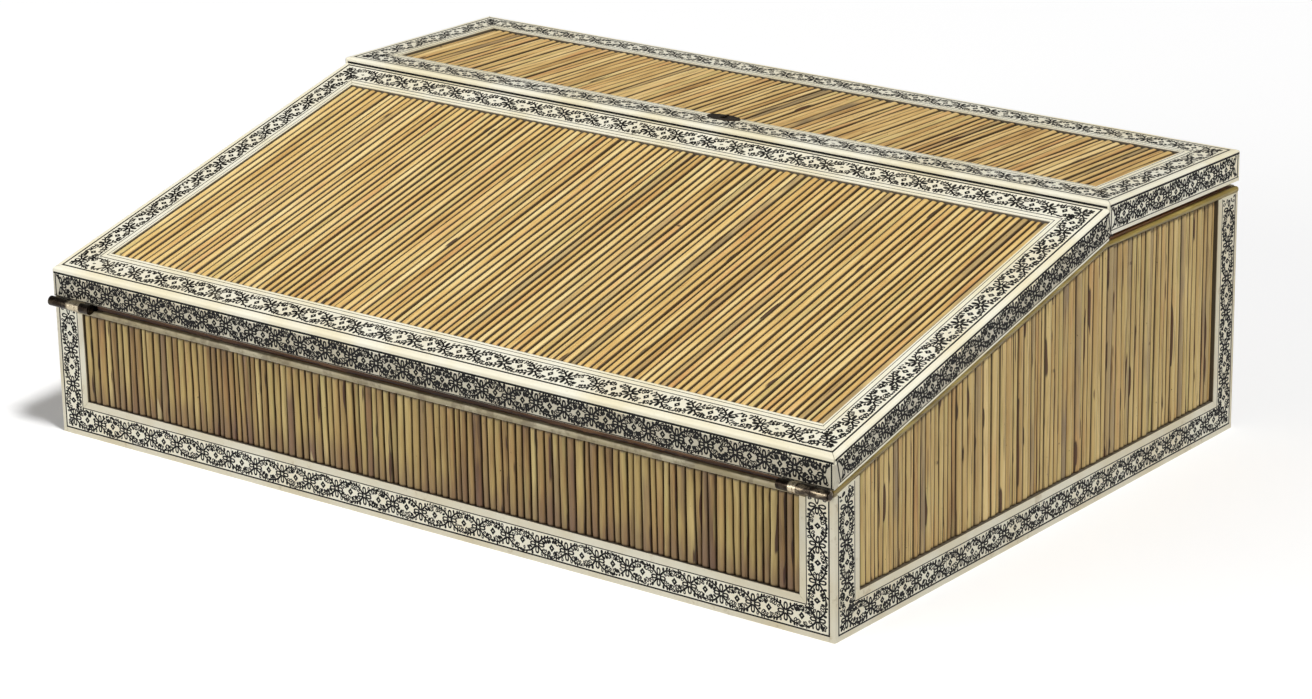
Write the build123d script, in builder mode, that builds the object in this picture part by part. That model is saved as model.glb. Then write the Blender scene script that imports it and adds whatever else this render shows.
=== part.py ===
from build123d import *
import os
from math import cos, radians, sin, tan

# Writing slope: a table-top box for papers, faced with split reeds between engraved bone bands.
# Millimetres, x to the right, y to the back, z up. The origin is the middle of the box's
# footprint, on the surface that it stands on.

os.makedirs("parts", exist_ok=True)

# Whole box, measured over the bone
width = 420.0
depth = 300.0
ridge_from_front = 195.0
front_height = 76.3
slope_angle = 14.25
lid_fall_angle = 1.1

# Boards, the flap and lid measured upright through their facing
wall = 9.0
bottom_thickness = 8.0
flap_thickness = 13.2
lid_thickness = 13.8
partition_thickness = 8.0

# Facing on the boards
skin = 2.4
base_bead = 2.4
cover_bead_width = 4.0
cover_bead_height = 3.3
band = 11.2
inner_fillet = 3.0
upper_edge_strip = 1.8
top_strip = 2.5
rim_moulding = 2.8
foot_strip = 0.9
bead_rounding = 0.8
cover_bead_rounding = 1.2

# Reeds
long_reed_pitch = 3.65
side_reed_pitch = 3.4
reed_gap = 0.12

# Clearances
joint_gap = 0.15
seat_gap = 0.2
seam_gap = 0.3
front_seam = 0.6
lid_gap = 2.4
liner_gap = 0.1
curve_gap = 0.3
pin_clearance = 0.05
slide_clearance = 0.1
screw_clearance = 0.05

# Front lipping and writing surface
lipping_drop = 2.5
lipping_gap = 2.0
lipping_width = 8.0
lipping_setback = 0.5
leather_thickness = 1.0
leather_margin = 6.0

# Hinges
hinge_length = 24.0
front_hinge_margin = 0.5
back_hinge_inset = 70.0
knuckle_radius = 2.2
pin_radius = 0.95
pin_head_radius = 1.6
pin_head = 0.6
leaf_thickness = 0.9
leaf_reach = 9.0
leaf_inset = 1.5
leaf_outer_margin = 0.6
knuckle_gap = 0.25
knuckle_share = 1 / 3
screw_radius = 0.8
screw_head_radius = 1.5
screw_head = 0.5
screw_length = 6.0
screw_spacing = 12.0
screw_setback = 5.2

# Lock in the lid's front edge
lock_width = 36.0
lock_depth = 24.0
lock_height = 7.2
lock_screw_spacing = 28.0
bolt_width = 12.0
bolt_height = 4.5
bolt_length = 12.0
bolt_travel = 4.5
bolt_setback = 0.2
keyhole_setback = 16.0
keyhole_radius = 1.7
keyhole_slot_width = 1.5
keyhole_slot_length = 4.2
escutcheon_length = 17.5
escutcheon_width = 8.5
escutcheon_proud = 0.2
strike_width = 30.0
strike_height = 8.0
strike_thickness = 1.0
strike_screw_spacing = 22.0
strike_screw_length = 5.0

# Till under the lid
till_floor_height = 64.0
till_floor_thickness = 4.0
bearer_size = 8.0
liner_thickness = 3.0
divider_thickness = 3.0
ink_well_width = 56.0
divider_drop = 8.0
pen_tray_width = 30.0
pen_tray_thickness = 14.0
pen_cove_radius = 12.0
pen_cove_rise = 2.0
pen_cove_end_margin = 8.0

# Places that follow from the sizes above
slope = tan(radians(slope_angle))
lid_fall = tan(radians(lid_fall_angle))
half_width = width / 2
front_y = -depth / 2
back_y = depth / 2
ridge_y = front_y + ridge_from_front
board_x = half_width - skin
board_front = front_y + skin
board_back = back_y - skin
inner_x = board_x - wall
inner_front = board_front + wall
inner_back = board_back - wall
flap_end = ridge_y - seam_gap / 2
lid_start = ridge_y + seam_gap / 2
base_border = band + inner_fillet


def flap_top(y):
    """Height of the flap's upper surface."""
    return front_height + (y - front_y) * slope


def flap_under(y):
    """Height of the flap's underside."""
    return flap_top(y) - flap_thickness


def slope_rim(y):
    """Height of the side walls' sloping edge, on which the flap rests."""
    return flap_under(y) - seat_gap


ridge_rim = slope_rim(ridge_y)


def back_rim(y):
    """Height of the walls' edge behind the ridge."""
    return ridge_rim - (y - ridge_y) * lid_fall


def lid_under(y):
    """Height of the lid's underside."""
    return back_rim(y) + lid_gap


def lid_top(y):
    """Height of the lid's upper surface."""
    return lid_under(y) + lid_thickness


front_wall_top = flap_under(front_y) - lipping_drop - front_seam
back_wall_top = back_rim(back_y)
tall = 2 * lid_top(ridge_y)

# Outward planes of the four walls' outer faces, each with its upright as local y
face_planes = {
    "front": Plane(origin=(0, board_front, 0), x_dir=(1, 0, 0), z_dir=(0, -1, 0)),
    "back": Plane(origin=(0, board_back, 0), x_dir=(-1, 0, 0), z_dir=(0, 1, 0)),
    "left": Plane(origin=(-board_x, 0, 0), x_dir=(0, -1, 0), z_dir=(-1, 0, 0)),
    "right": Plane(origin=(board_x, 0, 0), x_dir=(0, 1, 0), z_dir=(1, 0, 0)),
}
face_half_lengths = {"front": board_x, "back": board_x, "left": board_back, "right": board_back}
face_heights = {
    "front": front_wall_top,
    "back": back_wall_top,
    "left": ridge_rim - rim_moulding,
    "right": ridge_rim - rim_moulding,
}
face_reed_tops = {
    "front": front_wall_top - top_strip,
    "back": back_wall_top - top_strip,
    "left": ridge_rim - rim_moulding,
    "right": ridge_rim - rim_moulding,
}
face_reed_pitches = {
    "front": long_reed_pitch,
    "back": long_reed_pitch,
    "left": side_reed_pitch,
    "right": side_reed_pitch,
}


def layer(surface, start, end, upper, lower):
    """Outline across the box of a layer between two depths below a sloping surface."""
    return [
        (start, surface(start) - upper),
        (end, surface(end) - upper),
        (end, surface(end) - lower),
        (start, surface(start) - lower),
    ]


def side_outline(drop):
    """Outline of the base seen from the side, its top lowered by drop."""
    return [
        (front_y, 0),
        (back_y, 0),
        (back_y, back_rim(back_y) - drop),
        (ridge_y, ridge_rim - drop),
        (front_y, slope_rim(front_y) - drop),
    ]


def prism(points, x_from, x_to, mode=Mode.ADD):
    """Extrude an outline in y and z along x, in the part being built."""
    with BuildSketch(Plane.YZ.offset(x_from)) as section:
        Polygon(*points)
    extrude(section.sketch, amount=x_to - x_from, mode=mode)


def block(x_from, x_to, y_from, y_to, z_from, z_to, mode=Mode.ADD):
    """Add or cut an upright rectangular block between two corners."""
    with BuildSketch(Plane.XY.offset(z_from)) as section:
        with Locations(((x_from + x_to) / 2, (y_from + y_to) / 2)):
            Rectangle(x_to - x_from, y_to - y_from)
    extrude(section.sketch, amount=z_to - z_from, mode=mode)


def framing_strips(half_length, low, high, strip, sides):
    """Corner points of the strips that frame a panel, mitred where two of them meet."""
    inner = half_length - strip
    inner_low = low + strip if "low" in sides else low
    inner_high = high - strip if "high" in sides else high
    outer_end = half_length - joint_gap
    inner_end = inner - joint_gap
    above = low + strip
    below = high - strip
    strips = {
        "low": [(-outer_end, low), (outer_end, low), (inner_end, above), (-inner_end, above)],
        "high": [(-outer_end, high), (outer_end, high), (inner_end, below), (-inner_end, below)],
        "left": [(-half_length, low), (-inner, inner_low), (-inner, inner_high), (-half_length, high)],
        "right": [(half_length, low), (inner, inner_low), (inner, inner_high), (half_length, high)],
    }
    return [strips[side] for side in sides]


def raise_outlines(plane, outlines, amount, mode=Mode.ADD):
    """Extrude several separate outlines from one plane."""
    with BuildSketch(plane) as strips:
        for points in outlines:
            Polygon(*points)
    extrude(strips.sketch, amount=amount, mode=mode)


def split_reeds(plane, span, pitch, length):
    """Lay half-round reeds side by side on a plane that stands across them, local y outwards."""
    count = int(span // pitch)
    spacing = span / count
    radius = (spacing - reed_gap) / 2
    with BuildSketch(plane) as sections:
        with GridLocations(spacing, 1, count, 1):
            Circle(radius)
        with Locations((0, -radius)):
            Rectangle(span, 2 * radius, mode=Mode.SUBTRACT)
    extrude(sections.sketch, amount=length)


def drill(plane, spots, radius, amount):
    """Cut round holes inwards from a plane whose normal points out of the material."""
    with BuildSketch(plane) as holes:
        with Locations(*spots):
            Circle(radius)
    extrude(holes.sketch, amount=-amount, mode=Mode.SUBTRACT)


def drill_for_screws(plane, spots, length):
    """Cut the seat of each screw head and the hole of its shank."""
    drill(plane, spots, screw_head_radius + screw_clearance, screw_head)
    drill(plane, spots, screw_radius + screw_clearance, length)


def add_screws(plane, spots, length):
    """Add countersunk screws whose heads lie flush with the plane."""
    with BuildSketch(plane) as heads:
        with Locations(*spots):
            Circle(screw_head_radius)
    extrude(heads.sketch, amount=-screw_head)
    with BuildSketch(plane) as shanks:
        with Locations(*spots):
            Circle(screw_radius)
    extrude(shanks.sketch, amount=-length)


def save(part, name):
    """Label a finished piece and write it."""
    part.label = name
    export_step(part, f"parts/{name}.step")


# Hinge places: the front pair lies in the flap's seam, the back pair under the lid
knuckle_setback = knuckle_radius + curve_gap
front_pin_y = front_y - knuckle_setback
back_pin_y = back_y + knuckle_setback
front_pin_z = (front_wall_top + flap_under(front_y)) / 2
back_pin_z = (back_wall_top + lid_under(back_y)) / 2
front_hinge_x = half_width - front_hinge_margin - hinge_length / 2
back_hinge_x = half_width - back_hinge_inset
leaf_length = hinge_length - 2 * leaf_inset
front_leaf_x = board_x - leaf_outer_margin - leaf_length / 2


def screw_spots(centre_x, y):
    """Places of two screws in each of two hinges, left and right."""
    half = screw_spacing / 2
    return [(side * centre_x + end * half, y) for side in (-1, 1) for end in (-1, 1)]


base_front_screw_plane = Plane.XY.offset(front_wall_top + leaf_thickness)
base_back_screw_plane = Plane.XY.offset(back_wall_top + leaf_thickness)
front_screw_spots = screw_spots(front_leaf_x, front_y + screw_setback)
back_screw_spots = screw_spots(back_hinge_x, back_y - screw_setback)


def under_plane(under, y, angle):
    """Plane on the free side of a leaf fixed under a cover, its normal pointing down and out."""
    tilt = radians(angle)
    normal = (0, sin(tilt), -cos(tilt))
    return Plane(origin=(0, y, under(y) - leaf_thickness / cos(tilt)), x_dir=(1, 0, 0), z_dir=normal)


flap_screw_plane = under_plane(flap_under, front_y + screw_setback, slope_angle)
lid_screw_plane = under_plane(lid_under, back_y - screw_setback, -lid_fall_angle)
flap_screw_spots = screw_spots(front_leaf_x, 0)
lid_screw_spots = screw_spots(back_hinge_x, 0)

# Lock places
bolt_z = lid_under(lid_start) + lock_height / 2 + liner_gap
keyhole_y = lid_start + keyhole_setback
lock_plane = Plane(origin=(0, keyhole_y, bolt_z - lock_height / 2), x_dir=(1, 0, 0), z_dir=(0, 0, -1))
lock_screw_spots = [(-lock_screw_spacing / 2, 0), (lock_screw_spacing / 2, 0)]
lock_screw_length = lock_height + lid_thickness / 5
strike_plane = Plane(origin=(0, flap_end, bolt_z), x_dir=(-1, 0, 0), z_dir=(0, 1, 0))
strike_screw_spots = [(-strike_screw_spacing / 2, 0), (strike_screw_spacing / 2, 0)]


# Base boards

with BuildPart() as bottom_board:
    block(-inner_x, inner_x, inner_front, inner_back, 0, bottom_thickness)
save(bottom_board.part, "bottom_board")

with BuildPart() as front_wall:
    block(-board_x, board_x, board_front, inner_front, 0, front_wall_top)
    drill(base_front_screw_plane, front_screw_spots, screw_radius + screw_clearance, screw_length)
save(front_wall.part, "front_wall")

with BuildPart() as back_wall:
    block(-board_x, board_x, inner_back, board_back, 0, back_wall_top)
    drill(base_back_screw_plane, back_screw_spots, screw_radius + screw_clearance, screw_length)
save(back_wall.part, "back_wall")

side_wall_outline = [
    (inner_front, 0),
    (inner_back, 0),
    (inner_back, back_rim(inner_back)),
    (ridge_y, ridge_rim),
    (inner_front, slope_rim(inner_front)),
]

with BuildPart() as left_wall:
    prism(side_wall_outline, -board_x, -inner_x)
save(left_wall.part, "left_wall")

with BuildPart() as right_wall:
    prism(side_wall_outline, inner_x, board_x)
save(right_wall.part, "right_wall")

partition_front = ridge_y - partition_thickness / 2
partition_back = ridge_y + partition_thickness / 2
partition_outline = [
    (partition_front, bottom_thickness),
    (partition_back, bottom_thickness),
    (partition_back, back_rim(partition_back)),
    (ridge_y, ridge_rim),
    (partition_front, slope_rim(partition_front)),
]

with BuildPart() as ridge_partition:
    prism(partition_outline, -inner_x, inner_x)
save(ridge_partition.part, "ridge_partition")


# Facing of the base: bone bands, plain fillets inside them, and reeds

for face, plane in face_planes.items():
    half_length = face_half_lengths[face]
    with BuildPart() as plaques:
        outlines = framing_strips(half_length, base_bead, face_heights[face], band, ("low", "left", "right"))
        raise_outlines(plane, outlines, skin)
        if face in ("left", "right"):
            prism(side_outline(rim_moulding), -half_width, half_width, mode=Mode.INTERSECT)
    save(plaques.part, f"{face}_plaques")

    with BuildPart() as reeds:
        reed_plane = Plane(
            origin=plane.from_local_coords((0, base_bead + base_border, 0)),
            x_dir=-plane.x_dir,
            z_dir=(0, 0, 1),
        )
        span = 2 * (half_length - base_border)
        length = face_reed_tops[face] - base_bead - base_border
        split_reeds(reed_plane, span, face_reed_pitches[face], length)
        if face in ("left", "right"):
            prism(side_outline(rim_moulding), -half_width, half_width, mode=Mode.INTERSECT)
    save(reeds.part, f"{face}_reeds")

with BuildPart() as base_inner_fillets:
    for face, plane in face_planes.items():
        half_length = face_half_lengths[face] - band
        sides = ("low", "left", "right")
        outlines = framing_strips(half_length, base_bead + band, face_reed_tops[face], inner_fillet, sides)
        raise_outlines(plane, outlines, skin)
    prism(side_outline(rim_moulding), -half_width, half_width, mode=Mode.INTERSECT)
save(base_inner_fillets.part, "base_inner_fillets")

with BuildPart() as base_bottom_beads:
    for face, plane in face_planes.items():
        run = face_half_lengths[face] - joint_gap
        raise_outlines(plane, [[(-run, 0), (run, 0), (run, base_bead), (-run, base_bead)]], skin)
save(base_bottom_beads.part, "base_bottom_beads")

with BuildPart() as base_corner_beads:
    corner_x = half_width - skin / 2
    for y, top in ((front_y + skin / 2, front_wall_top), (back_y - skin / 2, back_wall_top - rim_moulding)):
        with BuildSketch() as corners:
            with Locations((-corner_x, y), (corner_x, y)):
                Rectangle(skin, skin)
        extrude(corners.sketch, amount=top)
    uprights = base_corner_beads.edges().filter_by(Axis.Z)
    right_and_left = uprights.filter_by(lambda edge: abs(edge.center().X) > corner_x)
    outer_edges = right_and_left.filter_by(lambda edge: abs(edge.center().Y) > board_back + skin / 2)
    fillet(outer_edges, bead_rounding)
save(base_corner_beads.part, "base_corner_beads")

rim_outline = side_outline(0)[2:] + list(reversed(side_outline(rim_moulding)[2:]))

with BuildPart() as left_rim_moulding:
    prism(rim_outline, -half_width, -board_x)
save(left_rim_moulding.part, "left_rim_moulding")

with BuildPart() as right_rim_moulding:
    prism(rim_outline, board_x, half_width)
save(right_rim_moulding.part, "right_rim_moulding")

strip_half_length = board_x - band - joint_gap

with BuildPart() as front_top_strip:
    strip_under = front_wall_top - top_strip
    block(-strip_half_length, strip_half_length, front_y, board_front, strip_under, front_wall_top)
save(front_top_strip.part, "front_top_strip")

with BuildPart() as back_top_strip:
    strip_under = back_wall_top - top_strip
    block(-strip_half_length, strip_half_length, board_back, back_y, strip_under, back_wall_top)
save(back_top_strip.part, "back_top_strip")


# Till under the lid

till_floor_under = till_floor_height - till_floor_thickness
till_front = partition_back + liner_thickness
till_back = inner_back - liner_thickness
till_side = inner_x - liner_thickness
cross_divider_x = till_side - ink_well_width
compartment_x = cross_divider_x - divider_thickness
divider_top = back_rim(inner_back) - divider_drop
pen_tray_top = divider_top - liner_gap
pen_tray_bottom = pen_tray_top - pen_tray_thickness
pen_tray_back = till_front + pen_tray_width

with BuildPart() as till_bearers:
    for side in (-1, 1):
        near, far = sorted((side * (inner_x - bearer_size), side * inner_x))
        block(near, far, partition_back, inner_back, till_floor_under - bearer_size, till_floor_under)
save(till_bearers.part, "till_bearers")

with BuildPart() as till_floor:
    block(-inner_x, inner_x, partition_back, inner_back, till_floor_under, till_floor_height)
save(till_floor.part, "till_floor")


def liner_outline(start, end):
    """Outline of a till liner, which stands proud of the walls up to the closed lid."""
    return [
        (start, till_floor_height),
        (end, till_floor_height),
        (end, lid_under(end) - liner_gap),
        (start, lid_under(start) - liner_gap),
    ]


with BuildPart() as till_front_liner:
    prism(liner_outline(partition_back, till_front), -inner_x, inner_x)
save(till_front_liner.part, "till_front_liner")

with BuildPart() as till_back_liner:
    prism(liner_outline(till_back, inner_back), -inner_x, inner_x)
save(till_back_liner.part, "till_back_liner")

with BuildPart() as till_left_liner:
    prism(liner_outline(till_front, till_back), -inner_x, -till_side)
save(till_left_liner.part, "till_left_liner")

with BuildPart() as till_right_liner:
    prism(liner_outline(till_front, till_back), till_side, inner_x)
save(till_right_liner.part, "till_right_liner")

with BuildPart() as till_left_divider:
    block(-cross_divider_x, -compartment_x, till_front, till_back, till_floor_height, divider_top)
save(till_left_divider.part, "till_left_divider")

with BuildPart() as till_right_divider:
    block(compartment_x, cross_divider_x, till_front, till_back, till_floor_height, divider_top)
save(till_right_divider.part, "till_right_divider")

with BuildPart() as till_long_divider:
    divider_back = pen_tray_back + divider_thickness
    block(-compartment_x, compartment_x, pen_tray_back, divider_back, till_floor_height, divider_top)
save(till_long_divider.part, "till_long_divider")

with BuildPart() as pen_tray_ledges:
    for side in (-1, 1):
        near, far = sorted((side * (compartment_x - bearer_size), side * compartment_x))
        block(near, far, till_front, pen_tray_back, till_floor_height, pen_tray_bottom)
save(pen_tray_ledges.part, "pen_tray_ledges")

with BuildPart() as pen_tray:
    block(-compartment_x, compartment_x, till_front, pen_tray_back, pen_tray_bottom, pen_tray_top)
    cove_half = compartment_x - pen_cove_end_margin
    with BuildSketch(Plane.YZ.offset(-cove_half)):
        with Locations(((till_front + pen_tray_back) / 2, pen_tray_top + pen_cove_rise)):
            Circle(pen_cove_radius)
    extrude(amount=2 * cove_half, mode=Mode.SUBTRACT)
save(pen_tray.part, "pen_tray")


# Facing strips shared by the flap and the lid

def cover_face(surface, start, end, upper, lower):
    """Keep only the layer between two depths below a cover's surface."""
    prism(layer(surface, start, end, upper, lower), -half_width, half_width, mode=Mode.INTERSECT)


def cover_strips(half_length, start, end, strip, sides):
    """Raise mitred framing strips upright through the whole height of a cover."""
    raise_outlines(Plane.XY, framing_strips(half_length, start, end, strip, sides), tall)


def on_cover_outside(surface, *ends):
    """Make a test for the upper outer edges of a cover's bead, at its sides and the given ends."""

    def test(edge):
        middle = edge.center()
        on_side = abs(abs(middle.X) - half_width) < joint_gap / 2
        on_end = any(abs(middle.Y - end) < joint_gap / 2 for end in ends)
        return (on_side or on_end) and abs(middle.Z - surface(middle.Y)) < joint_gap / 2

    return test


flap_sides = ("low", "left", "right")
lid_sides = ("low", "high", "left", "right")
all_sides = lid_sides
face_x = half_width - cover_bead_width
fillet_x = face_x - band
reed_x = fillet_x - inner_fillet


def cover_reeds(surface, angle, start, end):
    """Lay reeds on a sloping cover, their ends clear of the fillets."""
    tilt = radians(angle)
    lean = long_reed_pitch / 2 * sin(tilt)
    first = start + max(lean, 0) + joint_gap
    last = end + min(lean, 0) - joint_gap
    reed_plane = Plane(
        origin=(0, first, surface(first) - skin),
        x_dir=(-1, 0, 0),
        z_dir=(0, cos(tilt), sin(tilt)),
    )
    split_reeds(reed_plane, 2 * reed_x, long_reed_pitch, (last - first) / cos(tilt))


# Flap

flap_face_start = front_y + cover_bead_width
flap_face_end = flap_end - upper_edge_strip

with BuildPart() as flap_rebate:
    cover_strips(half_width, front_y, flap_end, cover_bead_width, flap_sides)
    cover_face(flap_top, front_y, flap_end, 0, cover_bead_height)

with BuildPart() as flap_board:
    prism(layer(flap_top, board_front, flap_end, skin, flap_thickness), -board_x, board_x)
    add(flap_rebate.part, mode=Mode.SUBTRACT)
    drill(flap_screw_plane, flap_screw_spots, screw_radius + screw_clearance, screw_length)
    drill(strike_plane, strike_screw_spots, screw_radius + screw_clearance, strike_screw_length)
    block(
        -strike_width / 2,
        strike_width / 2,
        flap_end - strike_thickness,
        flap_end,
        bolt_z - strike_height / 2,
        bolt_z + strike_height / 2,
        mode=Mode.SUBTRACT,
    )
    block(
        -bolt_width / 2 - curve_gap,
        bolt_width / 2 + curve_gap,
        flap_end - bolt_travel - strike_thickness,
        flap_end,
        bolt_z - bolt_height / 2 - curve_gap,
        bolt_z + bolt_height / 2 + curve_gap,
        mode=Mode.SUBTRACT,
    )
save(flap_board.part, "flap_board")

with BuildPart() as flap_beads:
    cover_strips(half_width, front_y, flap_end, cover_bead_width, flap_sides)
    cover_face(flap_top, front_y, flap_end, 0, cover_bead_height)
    outer_edges = flap_beads.edges().filter_by(on_cover_outside(flap_top, front_y))
    fillet(outer_edges, cover_bead_rounding)
    upper_edge = layer(flap_top, flap_face_end, flap_end, 0, skin)
    prism(upper_edge, -face_x + joint_gap, face_x - joint_gap)
save(flap_beads.part, "flap_beads")

with BuildPart() as flap_plaques:
    cover_strips(face_x, flap_face_start, flap_face_end, band, all_sides)
    cover_face(flap_top, front_y, flap_end, 0, skin)
save(flap_plaques.part, "flap_plaques")

with BuildPart() as flap_inner_fillets:
    cover_strips(fillet_x, flap_face_start + band, flap_face_end - band, inner_fillet, all_sides)
    cover_face(flap_top, front_y, flap_end, 0, skin)
save(flap_inner_fillets.part, "flap_inner_fillets")

with BuildPart() as flap_reeds:
    reeds_start = flap_face_start + band + inner_fillet
    reeds_end = flap_face_end - band - inner_fillet
    cover_reeds(flap_top, slope_angle, reeds_start, reeds_end)
save(flap_reeds.part, "flap_reeds")

with BuildPart() as flap_edge_plaques:
    prism(layer(flap_top, front_y, board_front, cover_bead_height, flap_thickness), -half_width, half_width)
    side_plaque = layer(
        flap_top, board_front + joint_gap, flap_end, cover_bead_height, flap_thickness - foot_strip
    )
    prism(side_plaque, -half_width, -board_x)
    prism(side_plaque, board_x, half_width)
save(flap_edge_plaques.part, "flap_edge_plaques")

with BuildPart() as flap_foot_strips:
    foot = layer(flap_top, board_front + joint_gap, flap_end, flap_thickness - foot_strip, flap_thickness)
    prism(foot, -half_width, -board_x)
    prism(foot, board_x, half_width)
save(flap_foot_strips.part, "flap_foot_strips")

with BuildPart() as flap_lipping:
    lipping_x = front_leaf_x - leaf_length / 2 - lipping_gap
    lipping_front = front_y + lipping_setback
    lipping_back = lipping_front + lipping_width
    lipping_bottom = flap_under(front_y) - lipping_drop
    lipping_outline = [
        (lipping_front, lipping_bottom),
        (lipping_back, lipping_bottom),
        (lipping_back, flap_under(lipping_back)),
        (lipping_front, flap_under(lipping_front)),
    ]
    prism(lipping_outline, -lipping_x, lipping_x)
save(flap_lipping.part, "flap_lipping")

with BuildPart() as writing_surface:
    leather_x = inner_x - leather_margin
    leather_start = inner_front + leather_margin
    leather_end = partition_front - leather_margin
    leather = layer(flap_under, leather_start, leather_end, 0, leather_thickness)
    prism(leather, -leather_x, leather_x)
save(writing_surface.part, "writing_surface")

with BuildPart() as strike_plate:
    block(
        -strike_width / 2,
        strike_width / 2,
        flap_end - strike_thickness,
        flap_end,
        bolt_z - strike_height / 2,
        bolt_z + strike_height / 2,
    )
    block(
        -bolt_width / 2 - curve_gap,
        bolt_width / 2 + curve_gap,
        flap_end - strike_thickness,
        flap_end,
        bolt_z - bolt_height / 2 - curve_gap,
        bolt_z + bolt_height / 2 + curve_gap,
        mode=Mode.SUBTRACT,
    )
    drill_for_screws(strike_plane, strike_screw_spots, strike_screw_length)
save(strike_plate.part, "strike_plate")

with BuildPart() as flap_screws:
    add_screws(flap_screw_plane, flap_screw_spots, screw_length)
    add_screws(strike_plane, strike_screw_spots, strike_screw_length)
save(flap_screws.part, "flap_screws")


# Lid

lid_face_start = lid_start + cover_bead_width
lid_face_end = back_y - cover_bead_width


def cut_lock_mortise():
    """Cut the lid board for the lock case and its keyhole."""
    block(
        -lock_width / 2,
        lock_width / 2,
        lid_start,
        lid_start + lock_depth,
        0,
        bolt_z + lock_height / 2,
        mode=Mode.SUBTRACT,
    )
    cut_keyhole(0)
    drill(lock_plane, lock_screw_spots, screw_radius + screw_clearance, lock_screw_length)


def cut_keyhole(start):
    """Cut a keyhole upwards: a round hole with a slot behind it."""
    with BuildSketch(Plane.XY.offset(start)) as keyhole:
        with Locations((0, keyhole_y)):
            Circle(keyhole_radius)
        with Locations((0, keyhole_y + keyhole_slot_length / 2)):
            Rectangle(keyhole_slot_width, keyhole_slot_length)
    extrude(keyhole.sketch, amount=tall, mode=Mode.SUBTRACT)


def cut_escutcheon_pocket():
    """Cut the facing where the oval escutcheon is let in."""
    with BuildSketch(Plane.XY) as oval:
        with Locations((0, keyhole_y)):
            Ellipse(escutcheon_length / 2 + curve_gap / 2, escutcheon_width / 2 + curve_gap / 2)
    extrude(oval.sketch, amount=tall, mode=Mode.SUBTRACT)


with BuildPart() as lid_rebate:
    cover_strips(half_width, lid_start, back_y, cover_bead_width, lid_sides)
    cover_face(lid_top, lid_start, back_y, 0, cover_bead_height)

with BuildPart() as lid_board:
    prism(layer(lid_top, lid_start, board_back, skin, lid_thickness), -board_x, board_x)
    add(lid_rebate.part, mode=Mode.SUBTRACT)
    cut_lock_mortise()
    drill(lid_screw_plane, lid_screw_spots, screw_radius + screw_clearance, screw_length)
save(lid_board.part, "lid_board")

with BuildPart() as lid_beads:
    cover_strips(half_width, lid_start, back_y, cover_bead_width, lid_sides)
    cover_face(lid_top, lid_start, back_y, 0, cover_bead_height)
    outer_edges = lid_beads.edges().filter_by(on_cover_outside(lid_top, lid_start, back_y))
    fillet(outer_edges, cover_bead_rounding)
save(lid_beads.part, "lid_beads")

with BuildPart() as lid_plaques:
    cover_strips(face_x, lid_face_start, lid_face_end, band, all_sides)
    cover_face(lid_top, lid_start, back_y, 0, skin)
    cut_escutcheon_pocket()
save(lid_plaques.part, "lid_plaques")

with BuildPart() as lid_inner_fillets:
    cover_strips(fillet_x, lid_face_start + band, lid_face_end - band, inner_fillet, all_sides)
    cover_face(lid_top, lid_start, back_y, 0, skin)
    cut_escutcheon_pocket()
save(lid_inner_fillets.part, "lid_inner_fillets")

with BuildPart() as lid_reeds:
    reeds_start = lid_face_start + band + inner_fillet
    reeds_end = lid_face_end - band - inner_fillet
    cover_reeds(lid_top, -lid_fall_angle, reeds_start, reeds_end)
    cut_escutcheon_pocket()
save(lid_reeds.part, "lid_reeds")

with BuildPart() as lid_edge_plaques:
    side_plaque = layer(lid_top, lid_start, back_y, cover_bead_height, lid_thickness - foot_strip)
    prism(side_plaque, -half_width, -board_x)
    prism(side_plaque, board_x, half_width)
    back_plaque = layer(lid_top, board_back, back_y, cover_bead_height, lid_thickness - foot_strip)
    prism(back_plaque, -board_x + joint_gap, board_x - joint_gap)
save(lid_edge_plaques.part, "lid_edge_plaques")

with BuildPart() as lid_foot_strips:
    side_foot = layer(lid_top, lid_start, back_y, lid_thickness - foot_strip, lid_thickness)
    prism(side_foot, -half_width, -board_x)
    prism(side_foot, board_x, half_width)
    back_foot = layer(lid_top, board_back, back_y, lid_thickness - foot_strip, lid_thickness)
    prism(back_foot, -board_x + joint_gap, board_x - joint_gap)
save(lid_foot_strips.part, "lid_foot_strips")

with BuildPart() as lock_case:
    block(
        -lock_width / 2,
        lock_width / 2,
        lid_start,
        lid_start + lock_depth,
        bolt_z - lock_height / 2,
        bolt_z + lock_height / 2,
    )
    block(
        -bolt_width / 2 - slide_clearance,
        bolt_width / 2 + slide_clearance,
        lid_start,
        lid_start + lock_depth - liner_thickness,
        bolt_z - bolt_height / 2 - slide_clearance,
        bolt_z + bolt_height / 2 + slide_clearance,
        mode=Mode.SUBTRACT,
    )
    cut_keyhole(bolt_z)
    drill_for_screws(lock_plane, lock_screw_spots, lock_screw_length)
save(lock_case.part, "lock_case")

with BuildPart() as escutcheon:
    with BuildSketch(Plane.XY):
        with Locations((0, keyhole_y)):
            Ellipse(escutcheon_length / 2, escutcheon_width / 2)
    extrude(amount=tall)
    cover_face(lid_top, lid_start, back_y, -escutcheon_proud, skin)
    cut_keyhole(0)
save(escutcheon.part, "escutcheon")

with BuildPart() as lid_screws:
    add_screws(lid_screw_plane, lid_screw_spots, screw_length)
    add_screws(lock_plane, lock_screw_spots, lock_screw_length)
save(lid_screws.part, "lid_screws")

with BuildPart() as lock_bolt:
    block(
        -bolt_width / 2,
        bolt_width / 2,
        lid_start + bolt_setback,
        lid_start + bolt_setback + bolt_length,
        bolt_z - bolt_height / 2,
        bolt_z + bolt_height / 2,
    )
save(lock_bolt.part, "lock_bolt")


# Hinges: the base leaf has the outer knuckles, the moving leaf the middle one

middle_half = hinge_length * knuckle_share / 2
outer_start = middle_half + knuckle_gap
outer_knuckles = [(-hinge_length / 2, -outer_start), (outer_start, hinge_length / 2)]
middle_knuckle = [(-middle_half, middle_half)]


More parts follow.
